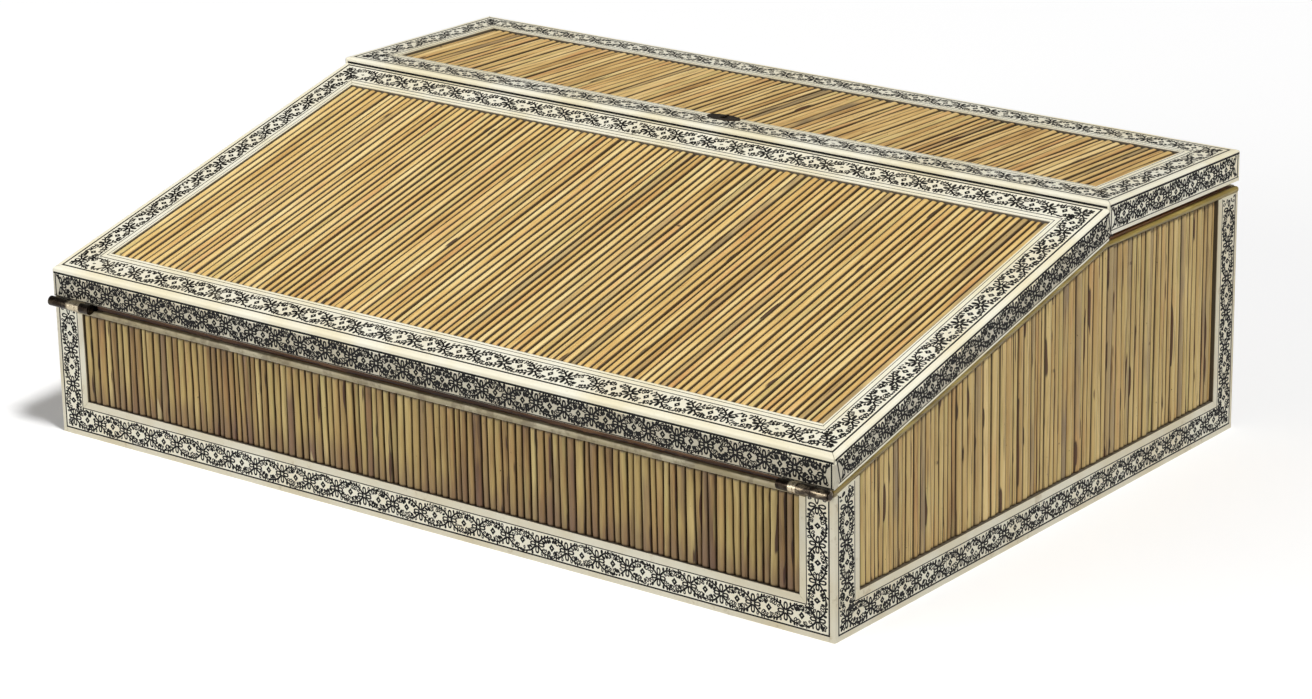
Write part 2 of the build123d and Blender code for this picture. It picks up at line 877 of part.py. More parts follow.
def hinge_leaves(centres, knuckles, pin_y, pin_z, plate):
    """Add knuckles round a pin and the plates that carry them, for each hinge of a pair.

    centres pairs each hinge's knuckle centre with its plate centre. plate(y) gives the
    plate's lower and upper height at y.
    """
    outward = 1 if pin_y > 0 else -1
    face = outward * depth / 2
    inner = face - outward * leaf_reach
    low, high = plate(face)
    inner_low, inner_high = plate(inner)
    plate_points = [(face, low), (inner, inner_low), (inner, inner_high), (face, high)]
    neck_points = [(face, low), (pin_y, low), (pin_y, high), (face, high)]
    for knuckle_x, plate_x in centres:
        prism(plate_points, plate_x - leaf_length / 2, plate_x + leaf_length / 2)
        for start, end in knuckles:
            with BuildSketch(Plane.YZ.offset(knuckle_x + start)) as ring:
                with Locations((pin_y, pin_z)):
                    Circle(knuckle_radius)
            extrude(ring.sketch, amount=end - start)
            neck_start = max(knuckle_x + start, plate_x - leaf_length / 2)
            neck_end = min(knuckle_x + end, plate_x + leaf_length / 2)
            prism(neck_points, neck_start, neck_end)
    with BuildSketch(Plane.YZ.offset(-half_width)) as bore:
        with Locations((pin_y, pin_z)):
            Circle(pin_radius + pin_clearance)
    extrude(bore.sketch, amount=width, mode=Mode.SUBTRACT)


def front_base_plate(y):
    """Lower and upper height of the leaf on the front wall."""
    return front_wall_top, front_wall_top + leaf_thickness


def back_base_plate(y):
    """Lower and upper height of the leaf on the back wall."""
    return back_wall_top, back_wall_top + leaf_thickness


def flap_plate(y):
    """Lower and upper height of the leaf under the flap."""
    return flap_under(y) - leaf_thickness / cos(radians(slope_angle)), flap_under(y)


def lid_plate(y):
    """Lower and upper height of the leaf under the lid."""
    return lid_under(y) - leaf_thickness / cos(radians(lid_fall_angle)), lid_under(y)


front_centres = [(-front_hinge_x, -front_leaf_x), (front_hinge_x, front_leaf_x)]
back_centres = [(-back_hinge_x, -back_hinge_x), (back_hinge_x, back_hinge_x)]

with BuildPart() as hinge_base_leaves:
    hinge_leaves(front_centres, outer_knuckles, front_pin_y, front_pin_z, front_base_plate)
    hinge_leaves(back_centres, outer_knuckles, back_pin_y, back_pin_z, back_base_plate)
    drill_for_screws(base_front_screw_plane, front_screw_spots, screw_length)
    drill_for_screws(base_back_screw_plane, back_screw_spots, screw_length)
save(hinge_base_leaves.part, "hinge_base_leaves")

with BuildPart() as base_hinge_screws:
    add_screws(base_front_screw_plane, front_screw_spots, screw_length)
    add_screws(base_back_screw_plane, back_screw_spots, screw_length)
save(base_hinge_screws.part, "base_hinge_screws")

with BuildPart() as flap_hinge_leaves:
    hinge_leaves(front_centres, middle_knuckle, front_pin_y, front_pin_z, flap_plate)
    drill_for_screws(flap_screw_plane, flap_screw_spots, screw_length)
save(flap_hinge_leaves.part, "flap_hinge_leaves")

with BuildPart() as lid_hinge_leaves:
    hinge_leaves(back_centres, middle_knuckle, back_pin_y, back_pin_z, lid_plate)
    drill_for_screws(lid_screw_plane, lid_screw_spots, screw_length)
save(lid_hinge_leaves.part, "lid_hinge_leaves")

with BuildPart() as hinge_pins:
    for centre, y, z in ((front_hinge_x, front_pin_y, front_pin_z), (back_hinge_x, back_pin_y, back_pin_z)):
        for side in (-1, 1):
            start = side * centre - hinge_length / 2
            with BuildSketch(Plane.YZ.offset(start)) as shank:
                with Locations((y, z)):
                    Circle(pin_radius)
            extrude(shank.sketch, amount=hinge_length)
            for head_start in (start - pin_head, start + hinge_length):
                with BuildSketch(Plane.YZ.offset(head_start)) as head:
                    with Locations((y, z)):
                        Circle(pin_head_radius)
                extrude(head.sketch, amount=pin_head)
save(hinge_pins.part, "hinge_pins")
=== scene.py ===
from collections import namedtuple
from functools import partialmethod, reduce
from math import cos, pi, radians, sin, tan

import bpy
import numpy as np
from mathutils import Matrix, Vector


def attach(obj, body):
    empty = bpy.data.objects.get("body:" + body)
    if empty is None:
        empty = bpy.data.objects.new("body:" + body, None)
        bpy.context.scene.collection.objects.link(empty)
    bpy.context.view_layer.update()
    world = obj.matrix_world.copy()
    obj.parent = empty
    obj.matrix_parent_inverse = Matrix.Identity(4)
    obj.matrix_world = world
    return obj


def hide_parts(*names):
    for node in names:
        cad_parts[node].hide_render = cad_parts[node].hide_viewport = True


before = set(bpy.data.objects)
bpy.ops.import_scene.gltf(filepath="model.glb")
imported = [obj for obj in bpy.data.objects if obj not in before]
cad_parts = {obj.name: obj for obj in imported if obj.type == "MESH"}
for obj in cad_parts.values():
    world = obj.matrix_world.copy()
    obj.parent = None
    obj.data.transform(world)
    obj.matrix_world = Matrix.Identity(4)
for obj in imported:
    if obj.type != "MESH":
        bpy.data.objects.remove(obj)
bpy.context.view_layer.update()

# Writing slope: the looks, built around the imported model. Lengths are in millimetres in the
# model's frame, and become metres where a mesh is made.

MM = 0.001
rng = np.random.default_rng(11)
scene = bpy.context.scene

# Sizes of the model that the pieces here follow
half_width = 210.0
front_y = -150.0
back_y = 150.0
ridge_y = 45.0
flap_end = 44.85
lid_start = 45.15
front_height = 76.3
slope_angle = radians(14.25)
fall_angle = radians(1.1)
flap_thickness = 13.2
lid_thickness = 13.8
seat_gap = 0.2
lid_gap = 2.4
skin = 2.4
band = 11.2
inner_fillet = 3.0
base_bead = 2.4
cover_bead = 4.0
rim_moulding = 2.8
top_strip = 2.5
upper_edge_strip = 1.8
front_wall_top = 60.0
back_wall_top = 110.408
hinge_leaf = 0.9
front_hinge_x = 197.5
back_hinge_x = 140.0
screw_inset = 5.2
screw_offset = 6.0
leather_half, leather_low, leather_high, leather_depth = 192.6, 14.7, 187.4, 13.76


def flap_top(y):
    return front_height + (y - front_y) * tan(slope_angle)


def slope_rim(y):
    return flap_top(y) - flap_thickness - seat_gap


def back_rim(y):
    return slope_rim(ridge_y) - (y - ridge_y) * tan(fall_angle)


def lid_top(y):
    return back_rim(y) + lid_gap + lid_thickness


def side_rim(y):
    """Height of the side walls' upper edge."""
    return np.where(y < ridge_y, slope_rim(y), back_rim(y))


class Face:
    """A flat face of the box: u runs along it, v up it and w out of it."""

    def __init__(self, origin, along, up):
        self.origin, self.along, self.up = (np.array(v, float) for v in (origin, along, up))
        self.out = np.cross(self.along, self.up)

    def place(self, points):
        """Points given by u, v and w, in metres in the model's frame."""
        u, v, w = points.T[:, :, None]
        return (self.origin + u * self.along + v * self.up + w * self.out) * MM


rightwards = (1, 0, 0)
leftwards = (-1, 0, 0)
upright = (0, 0, 1)
slope_up = np.array([0, cos(slope_angle), sin(slope_angle)])
slope_out = np.array([0, -sin(slope_angle), cos(slope_angle)])
lid_back = np.array([0, cos(fall_angle), -sin(fall_angle)])
lid_out = np.array([0, sin(fall_angle), cos(fall_angle)])

front = Face((0, front_y, 0), rightwards, upright)
back = Face((0, back_y, 0), leftwards, upright)
right = Face((half_width, 0, 0), (0, 1, 0), upright)
left = Face((-half_width, 0, 0), (0, -1, 0), upright)
slope = Face((0, front_y, front_height), rightwards, slope_up)
lid_face = Face((0, ridge_y, lid_top(ridge_y)), rightwards, lid_back)


def new_object(name, data):
    made = bpy.data.objects.new(name, data)
    scene.collection.objects.link(made)
    return made


class Gathered:
    """Closed pieces gathered into one mesh, with their marks for the material."""

    def __init__(self):
        self.points = []
        self.faces = []
        self.marks = {}
        self.count = 0

    def add(self, points, faces, **marks):
        self.points.append(points)
        self.faces.extend([self.count + i for i in corners] for corners in faces)
        for name, values in marks.items():
            self.marks.setdefault(name, []).append(values)
        self.count += len(points)

    def finish(self, name, body, slot, material, replaces=(), smooth=30):
        mesh = bpy.data.meshes.new(name)
        mesh.from_pydata(np.concatenate(self.points), [], self.faces)
        for mark, values in self.marks.items():
            layer = mesh.attributes.new(mark, "FLOAT_VECTOR", "POINT")
            layer.data.foreach_set("vector", np.concatenate(values).astype(np.float32).ravel())
        mesh.shade_smooth()
        mesh.set_sharp_from_angle(angle=radians(smooth))
        mesh.materials.append(material)
        piece = new_object(name, mesh)
        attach(piece, body)
        if replaces:
            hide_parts(*replaces)


def tube_faces(rings, around):
    """Faces of a closed tube whose rings follow one another, with both ends shut."""
    last = (rings - 1) * around
    around_once = [(j, (j + 1) % around) for j in range(around)]
    faces = [(low + j, low + m, low + around + m, low + around + j)
             for low in range(0, last, around) for j, m in around_once]
    return [*faces, tuple(range(around - 1, -1, -1)), tuple(range(last, last + around))]


# Materials. Colours are given as they look on a screen, from 0 to 255.

def as_light(tint):
    """A colour as Blender takes it."""
    shares = [c / 255 for c in tint]
    return (*(s / 12.92 if s <= 0.04045 else ((s + 0.055) / 1.055) ** 2.4 for s in shares), 1.0)


class Paint:
    """Nodes of a material or of the world, built by short calls on sockets and constants."""

    def __init__(self, owner, shader="Principled BSDF"):
        owner.use_nodes = True
        self.owner = owner
        self.tree = owner.node_tree
        self.shader = self.tree.nodes[shader]

    def fill(self, node, inputs):
        for key, value in inputs.items():
            if isinstance(value, bpy.types.NodeSocket):
                self.tree.links.new(value, node.inputs[key])
            else:
                node.inputs[key].default_value = value

    def finish(self, noise, smooth, rough, gloss=0.5, metallic=0, low=0.3):
        """Fill the shader, with its roughness taken from a noise, and give the material."""
        roughness = self.between(noise, low, 0.7, smooth, rough)
        self.fill(self.shader, {"Base Color": self.base, "Roughness": roughness,
                                "Specular IOR Level": gloss, "Metallic": metallic})
        return self.owner

    def node(self, kind, inputs, **settings):
        """Outputs of a new node."""
        made = self.tree.nodes.new(kind)
        for key, value in settings.items():
            setattr(made, key, value)
        self.fill(made, inputs)
        return made.outputs

    def maths(self, operation, a, b=0, c=0, clamp=False):
        inputs = {0: a, 1: b, 2: c}
        return self.node("ShaderNodeMath", inputs, operation=operation, use_clamp=clamp)[0]

    plus = partialmethod(maths, "ADD")
    minus = partialmethod(maths, "SUBTRACT")
    times = partialmethod(maths, "MULTIPLY")
    size = partialmethod(maths, "ABSOLUTE")
    least = partialmethod(maths, "MINIMUM")
    most = partialmethod(maths, "MAXIMUM")

    def sway(self, noise, width):
        """A noise from 0 to 1, turned into one that reaches half of width each way."""
        return self.maths("MULTIPLY_ADD", noise, width, -width / 2)

    def vector(self, operation, a, b):
        return self.node("ShaderNodeVectorMath", {0: a, 1: b}, operation=operation)

    def split(self, vector):
        return tuple(self.node("ShaderNodeSeparateXYZ", {0: vector}))

    def mark(self, name):
        """The three numbers of a mark that the mesh carries."""
        return self.split(self.node("ShaderNodeAttribute", {}, attribute_name=name)["Vector"])

    def place(self, scale=1):
        """Where a point of the surface is at rest, in millimetres times one or three scales."""
        factors = tuple(s / MM for s in np.broadcast_to(scale, 3))
        return self.vector("MULTIPLY", self.node("ShaderNodeTexCoord", {})["Object"], factors)[0]

    def noise(self, vector, detail=3, roughness=0.55, distortion=0):
        made = self.node("ShaderNodeTexNoise", {
            0: vector, "Scale": 1, "Detail": detail, "Roughness": roughness,
            "Distortion": distortion})
        return made["Fac"]

    def clouds(self, scale, *character):
        """A noise in the box's own space."""
        return self.noise(self.place(scale), *character)

    def between(self, value, low, high, to_low=0, to_high=1):
        """Value taken from low..high to to_low..to_high, smoothly and no further."""
        inputs = {0: value, 1: low, 2: high, 3: to_low, 4: to_high}
        return self.node("ShaderNodeMapRange", inputs, interpolation_type="SMOOTHSTEP")[0]

    def within(self, value, rise, fall):
        """1 from the rise to the fall, each a pair of values where it begins and ends."""
        return self.times(self.between(value, *rise), self.between(value, *fall, 1, 0))

    def ramp(self, value, stops, tints):
        """A colour that runs through tints at stops."""
        found = self.node("ShaderNodeValToRGB", {0: value})[0]
        elements = found.node.color_ramp.elements
        while len(elements) < len(stops):
            elements.new(0.5)
        for element, position, tint in zip(elements, stops, tints):
            element.position = position
            element.color = as_light(tint)
        return found

    def mix(self, factor, *colours):
        a, b = (c if isinstance(c, bpy.types.NodeSocket) else as_light(c) for c in colours)
        return self.node("ShaderNodeMix", {0: factor, 6: a, 7: b}, data_type="RGBA")[2]

    def coat(self, tint, factor, *between):
        """A tint laid over the base colour, by a factor or by a value taken between limits."""
        factor = self.between(factor, *between) if between else factor
        self.base = self.mix(factor, self.base, tint)

    def relief(self, height, distance):
        """Bump of a height from 0 to 1, whose full step is distance in millimetres."""
        inputs = {"Height": height, "Distance": distance * MM, "Strength": 1.0}
        self.fill(self.shader, {"Normal": self.node("ShaderNodeBump", inputs)[0]})


def new_paint(name):
    return Paint(bpy.data.materials.new(name))


orange_tinge = (226, 158, 104)
green_tinge = (196, 184, 118)
pale_sheath = (206, 186, 138)
knot_brown = (76, 48, 26)
split_brown = (84, 46, 22)
speck_brown = (58, 38, 22)
# Colours of painted shade low on the reeds' sides and in the opened gaps between them
flank_shade = (44, 29, 12)
spindle_shade = (72, 38, 18)


def reed_paint(name, tones, shade, split_level, flank, stained_below=0, orange=0.34,
               opened=0.68):
    """Dried reed in four tones, brown to bright: fibres, tinges and blotches along each reed,
    splits, specks, and painted shade low on its sides, in the opened gaps between reeds and
    near its ends. Reeds stained at the foot have pale sheaths."""
    paint = new_paint(name)
    across, along, seed = paint.mark("place")
    tone, grey, knot_at = paint.mark("kind")
    from_end = paint.mark("ends")[0]
    aside = paint.size(across)

    def streaks(scale_across, scale_along, scale_seed, detail=3, roughness=0.6):
        scaled = ((across, scale_across), (along, scale_along), (seed, scale_seed))
        spot = {k: paint.times(*pair) for k, pair in enumerate(scaled)}
        return paint.noise(paint.node("ShaderNodeCombineXYZ", spot)[0], detail, roughness)

    fibres = streaks(2.2, 0.035, 13, 4)
    threads = streaks(8, 0.10, 17, 3, 0.65)
    blotches = streaks(0.3, 0.022, 7, 2)
    level = paint.plus(tone, paint.sway(fibres, 0.7))
    level = paint.plus(level, paint.sway(blotches, 0.9))
    level = paint.plus(level, paint.sway(threads, 0.36), clamp=True)
    paint.base = paint.ramp(level, (0, 0.3, 0.62, 0.95), tones)
    tinge = streaks(0.4, 0.016, 23, 2)
    paint.coat(orange_tinge, tinge, 0.54, 0.70, 0, orange)
    paint.coat(green_tinge, tinge, 0.30, 0.44, 0.42, 0)
    paint.coat(shade, paint.times(grey, paint.between(blotches, 0.35, 0.6)))
    if stained_below > 0:
        edge = paint.plus(along, paint.sway(streaks(0.5, 0.03, 31, 2), 34))
        paint.coat(shade, edge, stained_below - 9, stained_below + 9, 0.62, 0)
        tip = paint.minus(knot_at, paint.times(aside, 8))
        paint.coat(pale_sheath, paint.minus(along, tip), -0.35, 0.35, 0.8, 0)
    else:
        from_knot = paint.size(paint.minus(along, knot_at))
        beside = paint.between(paint.size(paint.minus(across, 0.15)), 0.15, 0.6, 1, 0.2)
        paint.coat(knot_brown, paint.times(paint.between(from_knot, 0.3, 1.1, 0.8, 0), beside))
    splits = streaks(5.5, 0.028, 29, 2.5, 0.5)
    split_mask = paint.between(splits, split_level, split_level + 0.06)
    paint.coat(split_brown, paint.times(split_mask, 0.8))
    paint.coat(speck_brown, streaks(2.4, 0.55, 41, 1), 0.77, 0.81, 0, 0.8)
    # Painted shade: darker low on the reeds' sides, in gaps widened between them, and near their
    # ends
    widened = paint.between(streaks(0.9, 0.034, 53, 1.5), opened, opened + 0.12, 0, 0.46)
    shade_mask = paint.between(paint.plus(aside, widened), *flank, 0, 0.94)
    shade_mask = paint.most(shade_mask, paint.between(from_end, 0.15, 1.5, 0.95, 0))
    paint.coat(paint.mix(paint.between(widened, 0.1, 0.4), flank_shade, spindle_shade), shade_mask)
    paint.relief(paint.plus(threads, fibres), 0.16)
    return paint.finish(threads, 0.36, 0.54)


mitre_brown = (92, 78, 54)
# Colour of the painted shade where bone lies below a face
sunk_shade = (52, 38, 20)


def bone_paint(name, pale, warm, stain, stain_level, mitred=False, sunk=()):
    """Old bone: cream with warmer clouds, pores and stains, hairlines at the covers' mitres,
    and painted shade below the faces in sunk, darker the deeper the bone lies."""
    paint = new_paint(name)
    clouds = paint.clouds(0.03)
    pores = paint.clouds(0.9, 4, 0.7)
    marks = paint.clouds(0.16, 5, 0.65)
    paint.base = paint.mix(paint.between(clouds, 0.35, 0.68), pale, warm)
    paint.coat(stain, pores, 0.56, 0.74, 0, 0.28)
    paint.coat(stain, marks, stain_level, stain_level + 0.12, 0, 0.5)
    if mitred:
        x, y, _ = paint.split(paint.place())
        from_side = paint.minus(half_width, paint.size(x))
        near_side = paint.between(from_side, 6, 7, 0.75, 0)
        for edge, way in ((front_y, 1 / cos(slope_angle)), (lid_start, 1.0), (back_y, -1.0)):
            from_edge = paint.times(paint.minus(y, edge), way)
            off = paint.size(paint.minus(from_side, from_edge))
            hairline = paint.between(off, 0.06, 0.22, 1, 0)
            paint.coat(mitre_brown, paint.times(hairline, near_side))
    # Painted shade: the deeper the bone lies below the faces in sunk, the darker it is painted
    depths = []
    for face in sunk:
        from_face = paint.vector("SUBTRACT", paint.place(), tuple(face.origin))[0]
        depths.append(paint.vector("DOT_PRODUCT", from_face, tuple(-face.out))["Value"])
    if depths:
        paint.coat(sunk_shade, reduce(paint.least, depths), 0.12, 0.5, 0, 0.9)
    paint.relief(pores, 0.05)
    return paint.finish(pores, 0.3, 0.48)


def engraved_paint(name, ink, faded, wear_low, wear_high):
    """Black lac rubbed into the engraving, thinner where hands have worn it."""
    paint = new_paint(name)
    wear = paint.clouds(0.12)
    grains = paint.clouds(2.2, 2)
    worn = paint.times(paint.between(wear, wear_low, wear_high), paint.between(grains, 0.4, 0.6))
    paint.base = paint.mix(worn, ink, faded)
    return paint.finish(grains, 0.45, 0.65, gloss=0.2)


# Colour of the painted shade of a dark gap
gap_shade = (22, 13, 8)


def wood_paint(name, tones, grain, roughness=0.5, gloss=0.5, shaded_below=0):
    """Wood in three tones, dark to light, with its grain along one axis of the box, with painted
    shade of a dark gap beneath it below a height where one is given."""
    paint = new_paint(name)

    def stretched(across, along, *character):
        return paint.clouds([along if axis == grain else across for axis in "XYZ"], *character)

    rings = stretched(0.22, 0.012, 4, 0.6, 0.6)
    pores = stretched(1.7, 0.06, 3, 0.7)
    tone = paint.maths("MULTIPLY_ADD", pores, 0.35, paint.times(rings, 0.75))
    paint.base = paint.ramp(tone, (0.36, 0.55, 0.74), tones)
    # Painted shade: the wood is blackened below this height, for the dark gap beneath it
    if shaded_below > 0:
        ragged = paint.clouds((0.18, 0.3, 0.3), 4, 0.7)
        height = paint.plus(paint.split(paint.place())[2], paint.sway(ragged, 2.4))
        paint.coat(gap_shade, height, shaded_below - 0.25, shaded_below + 0.25, 0.85, 0)
    paint.relief(pores, 0.08)
    return paint.finish(pores, roughness - 0.08, roughness + 0.12, gloss)


# Zones along the front barrels, each from a rise to a fall in x or, for the painted shade at their
# inner ends, in its size
# Painted shade darkens the barrels' inner ends, by the dark gap to the leaves, and the left
# barrel's outer end is painted dark; the pale ring is a painted highlight
barrel_inner_shade = ((180, 181), (190.4, 191.0))
left_end_dark = (-199.2, -198.6)
pale_leaf = ((-198.2, -197.6), (-191.4, -190.8))
highlight_ring = ((191.0, 191.5), (194.4, 194.9))
barrel_black = (34, 27, 21)


def metal_paint(name, bright, dull, crust, crust_level=0.62, smooth=0.24, pale=None):
    """Old metal, bright where it is rubbed, dull elsewhere, with a few rusty specks. With pale
    given, the front barrels have their darkened zones, painted shade at their inner ends and a
    dark left end, and their pale zones, a pale leaf and a ring of painted highlight."""
    paint = new_paint(name)
    rubbed = paint.clouds((0.22, 0.5, 0.5), 3, 0.6)
    grains = paint.clouds((1.6, 2.2, 2.2), 3, 0.6)
    paint.base = paint.mix(paint.between(rubbed, 0.46, 0.68), dull, bright)
    if pale is not None:
        x = paint.split(paint.place())[0]
        # Painted shade at the barrels' inner ends, a dark left end, a pale leaf and a painted
        # highlight ring
        darkened = paint.within(paint.size(x), *barrel_inner_shade)
        darkened = paint.most(darkened, paint.between(x, *left_end_dark, 1, 0))
        paint.coat(barrel_black, paint.times(darkened, 0.85))
        pale_and_highlight = paint.plus(paint.within(x, *pale_leaf), paint.within(x, *highlight_ring))
        paint.coat(pale, paint.times(pale_and_highlight, 0.9))
    crusted = paint.between(grains, crust_level, crust_level + 0.10)
    paint.coat(crust, crusted)
    paint.relief(grains, 0.03)
    metallic = paint.minus(1, paint.times(crusted, 0.7))
    return paint.finish(grains, smooth, smooth + 0.26, metallic=metallic, low=0.35)


def leather_paint(name):
    """Dark green hide with a fine pebble grain, paler and browner where arms have rubbed it."""
    paint = new_paint(name)
    cells = {"Vector": paint.place(1.25), "Scale": 1.0}
    pebble = paint.node("ShaderNodeTexVoronoi", cells)["Distance"]
    clouds = paint.clouds(0.014, 4)
    scuffs = paint.clouds((0.05, 0.4, 0.4), 4, 0.7)
    paint.base = paint.mix(paint.between(clouds, 0.38, 0.66), (52, 62, 44), (74, 77, 52))
    paint.coat((124, 108, 76), scuffs, 0.58, 0.72, 0, 0.6)
    paint.coat((30, 34, 26), pebble, 0.35, 0.75, 0, 0.45)
    paint.relief(pebble, -0.18)
    return paint.finish(clouds, 0.58, 0.72, gloss=0.28)


reed_slope = reed_paint(
    "reed_slope", [(132, 94, 48), (206, 160, 88), (236, 198, 122), (252, 226, 160)],
    (168, 142, 96), 0.67, (0.50, 0.80))
reed_lid = reed_paint(
    "reed_lid", [(118, 84, 44), (196, 154, 92), (224, 188, 120), (244, 214, 150)],
    (146, 124, 88), 0.64, (0.52, 0.82))
reed_front = reed_paint(
    "reed_front", [(98, 70, 42), (160, 128, 78), (190, 164, 102), (220, 196, 134)],
    (122, 92, 70), 0.68, (0.66, 0.94), stained_below=26.0, orange=0.16, opened=0.61)
reed_side = reed_paint(
    "reed_side", [(120, 84, 48), (194, 158, 98), (216, 188, 124), (240, 212, 148)],
    (152, 130, 98), 0.61, (0.74, 0.97), orange=0.26, opened=0.59)


def dress(nodes, material):
    """Paint nodes of the model, and give the material."""
    for name in nodes.split():
        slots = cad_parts[name].data.materials
        if not slots:
            slots.append(material)
        for k in range(len(slots)):
            slots[k] = material
    return material


dress("front_plaques back_plaques flap_plaques lid_plaques lid_edge_plaques",
      bone_paint("bone", (247, 243, 224), (242, 233, 205), (204, 188, 150), 0.62))
dress("left_plaques right_plaques",
      bone_paint("bone_side", (238, 234, 214), (230, 220, 192), (190, 174, 138), 0.60))
# Painted shade: a darker copy of the bone for the flap's edge plaques, which lie in the shade of
# the cover's bead
dress("flap_edge_plaques",
      bone_paint("bone_edge_shaded", (208, 202, 182), (196, 187, 162), (154, 138, 106), 0.58))
dress("base_bottom_beads base_corner_beads",
      bone_paint("bone_low", (232, 225, 202), (220, 208, 176), (176, 156, 116), 0.58))
dress("base_inner_fillets",
      bone_paint("bone_fillet", (236, 230, 208), (226, 215, 184), (180, 160, 120), 0.60,
                 sunk=(front, back, left, right)))
brightest = ((252, 247, 226), (246, 236, 202), (210, 190, 146), 0.66)
dress("flap_beads lid_beads flap_foot_strips lid_foot_strips",
      bone_paint("bone_bead", *brightest, mitred=True))
dress("flap_inner_fillets", bone_paint("bone_fillet_slope", *brightest, sunk=(slope,)))
dress("lid_inner_fillets", bone_paint("bone_fillet_lid", *brightest, sunk=(lid_face,)))
bone_worn = dress(
    "front_top_strip back_top_strip",
    bone_paint("bone_worn", (182, 172, 142), (158, 144, 108), (98, 82, 56), 0.47))
ink = engraved_paint("ink", (12, 10, 9), (64, 58, 48), 0.62, 0.82)
ink_worn = engraved_paint("ink_worn", (16, 14, 12), (112, 104, 86), 0.54, 0.78)

box_tones = ((96, 62, 38), (146, 100, 62), (182, 134, 88))
till_tones = ((132, 92, 56), (176, 132, 86), (204, 166, 116))
dress("bottom_board front_wall back_wall ridge_partition flap_board lid_board",
      wood_paint("box_wood_x", box_tones, "X"))
dress("left_wall right_wall", wood_paint("box_wood_y", box_tones, "Y"))
dress("till_floor till_bearers till_front_liner till_back_liner till_long_divider pen_tray",
      wood_paint("till_wood_x", till_tones, "X", 0.46))
dress("till_left_liner till_right_liner till_left_divider till_right_divider pen_tray_ledges",
      wood_paint("till_wood_y", till_tones, "Y", 0.46))
# The lipping's foot, below 61.5 mm, carries painted shade of the gap under it
lipping = dress("flap_lipping", wood_paint(
    "lipping_wood", ((28, 15, 8), (70, 44, 27), (140, 104, 72)), "X", 0.62, 0.25, 61.5))
rim_wood = dress("left_rim_moulding right_rim_moulding", wood_paint(
    "rim_wood", ((96, 78, 34), (150, 130, 68), (200, 180, 108)), "Y", 0.34))

dress("hinge_base_leaves flap_hinge_leaves lid_hinge_leaves hinge_pins",
      metal_paint("hinge_steel", (150, 136, 114), (60, 52, 44), (36, 28, 22),
                  pale=(206, 192, 164)))
dress("base_hinge_screws flap_screws lid_screws",
      metal_paint("screw_steel", (176, 162, 138), (100, 90, 76), (54, 42, 32)))
dress("strike_plate lock_case lock_bolt",
      metal_paint("lock_brass", (178, 150, 94), (132, 106, 64), (80, 60, 36), 0.60, 0.30))
dress("escutcheon",
      metal_paint("escutcheon_metal", (112, 96, 72), (70, 60, 48), (38, 31, 25), 0.60, 0.36))
dress("writing_surface", leather_paint("writing_leather"))
gilt = metal_paint("leather_gilding", (222, 186, 104), (186, 150, 84), (96, 84, 56), 0.50, 0.34)


# Split reeds

reed_sides = 10
ring_spacing = 3.4
knot_share = 0.05
no_knot = -1000.0
knot_rings = np.array([-2.2, -1.1, -0.4, 0.0, 0.4, 1.1, 2.2])
tallest_reed = 2.05


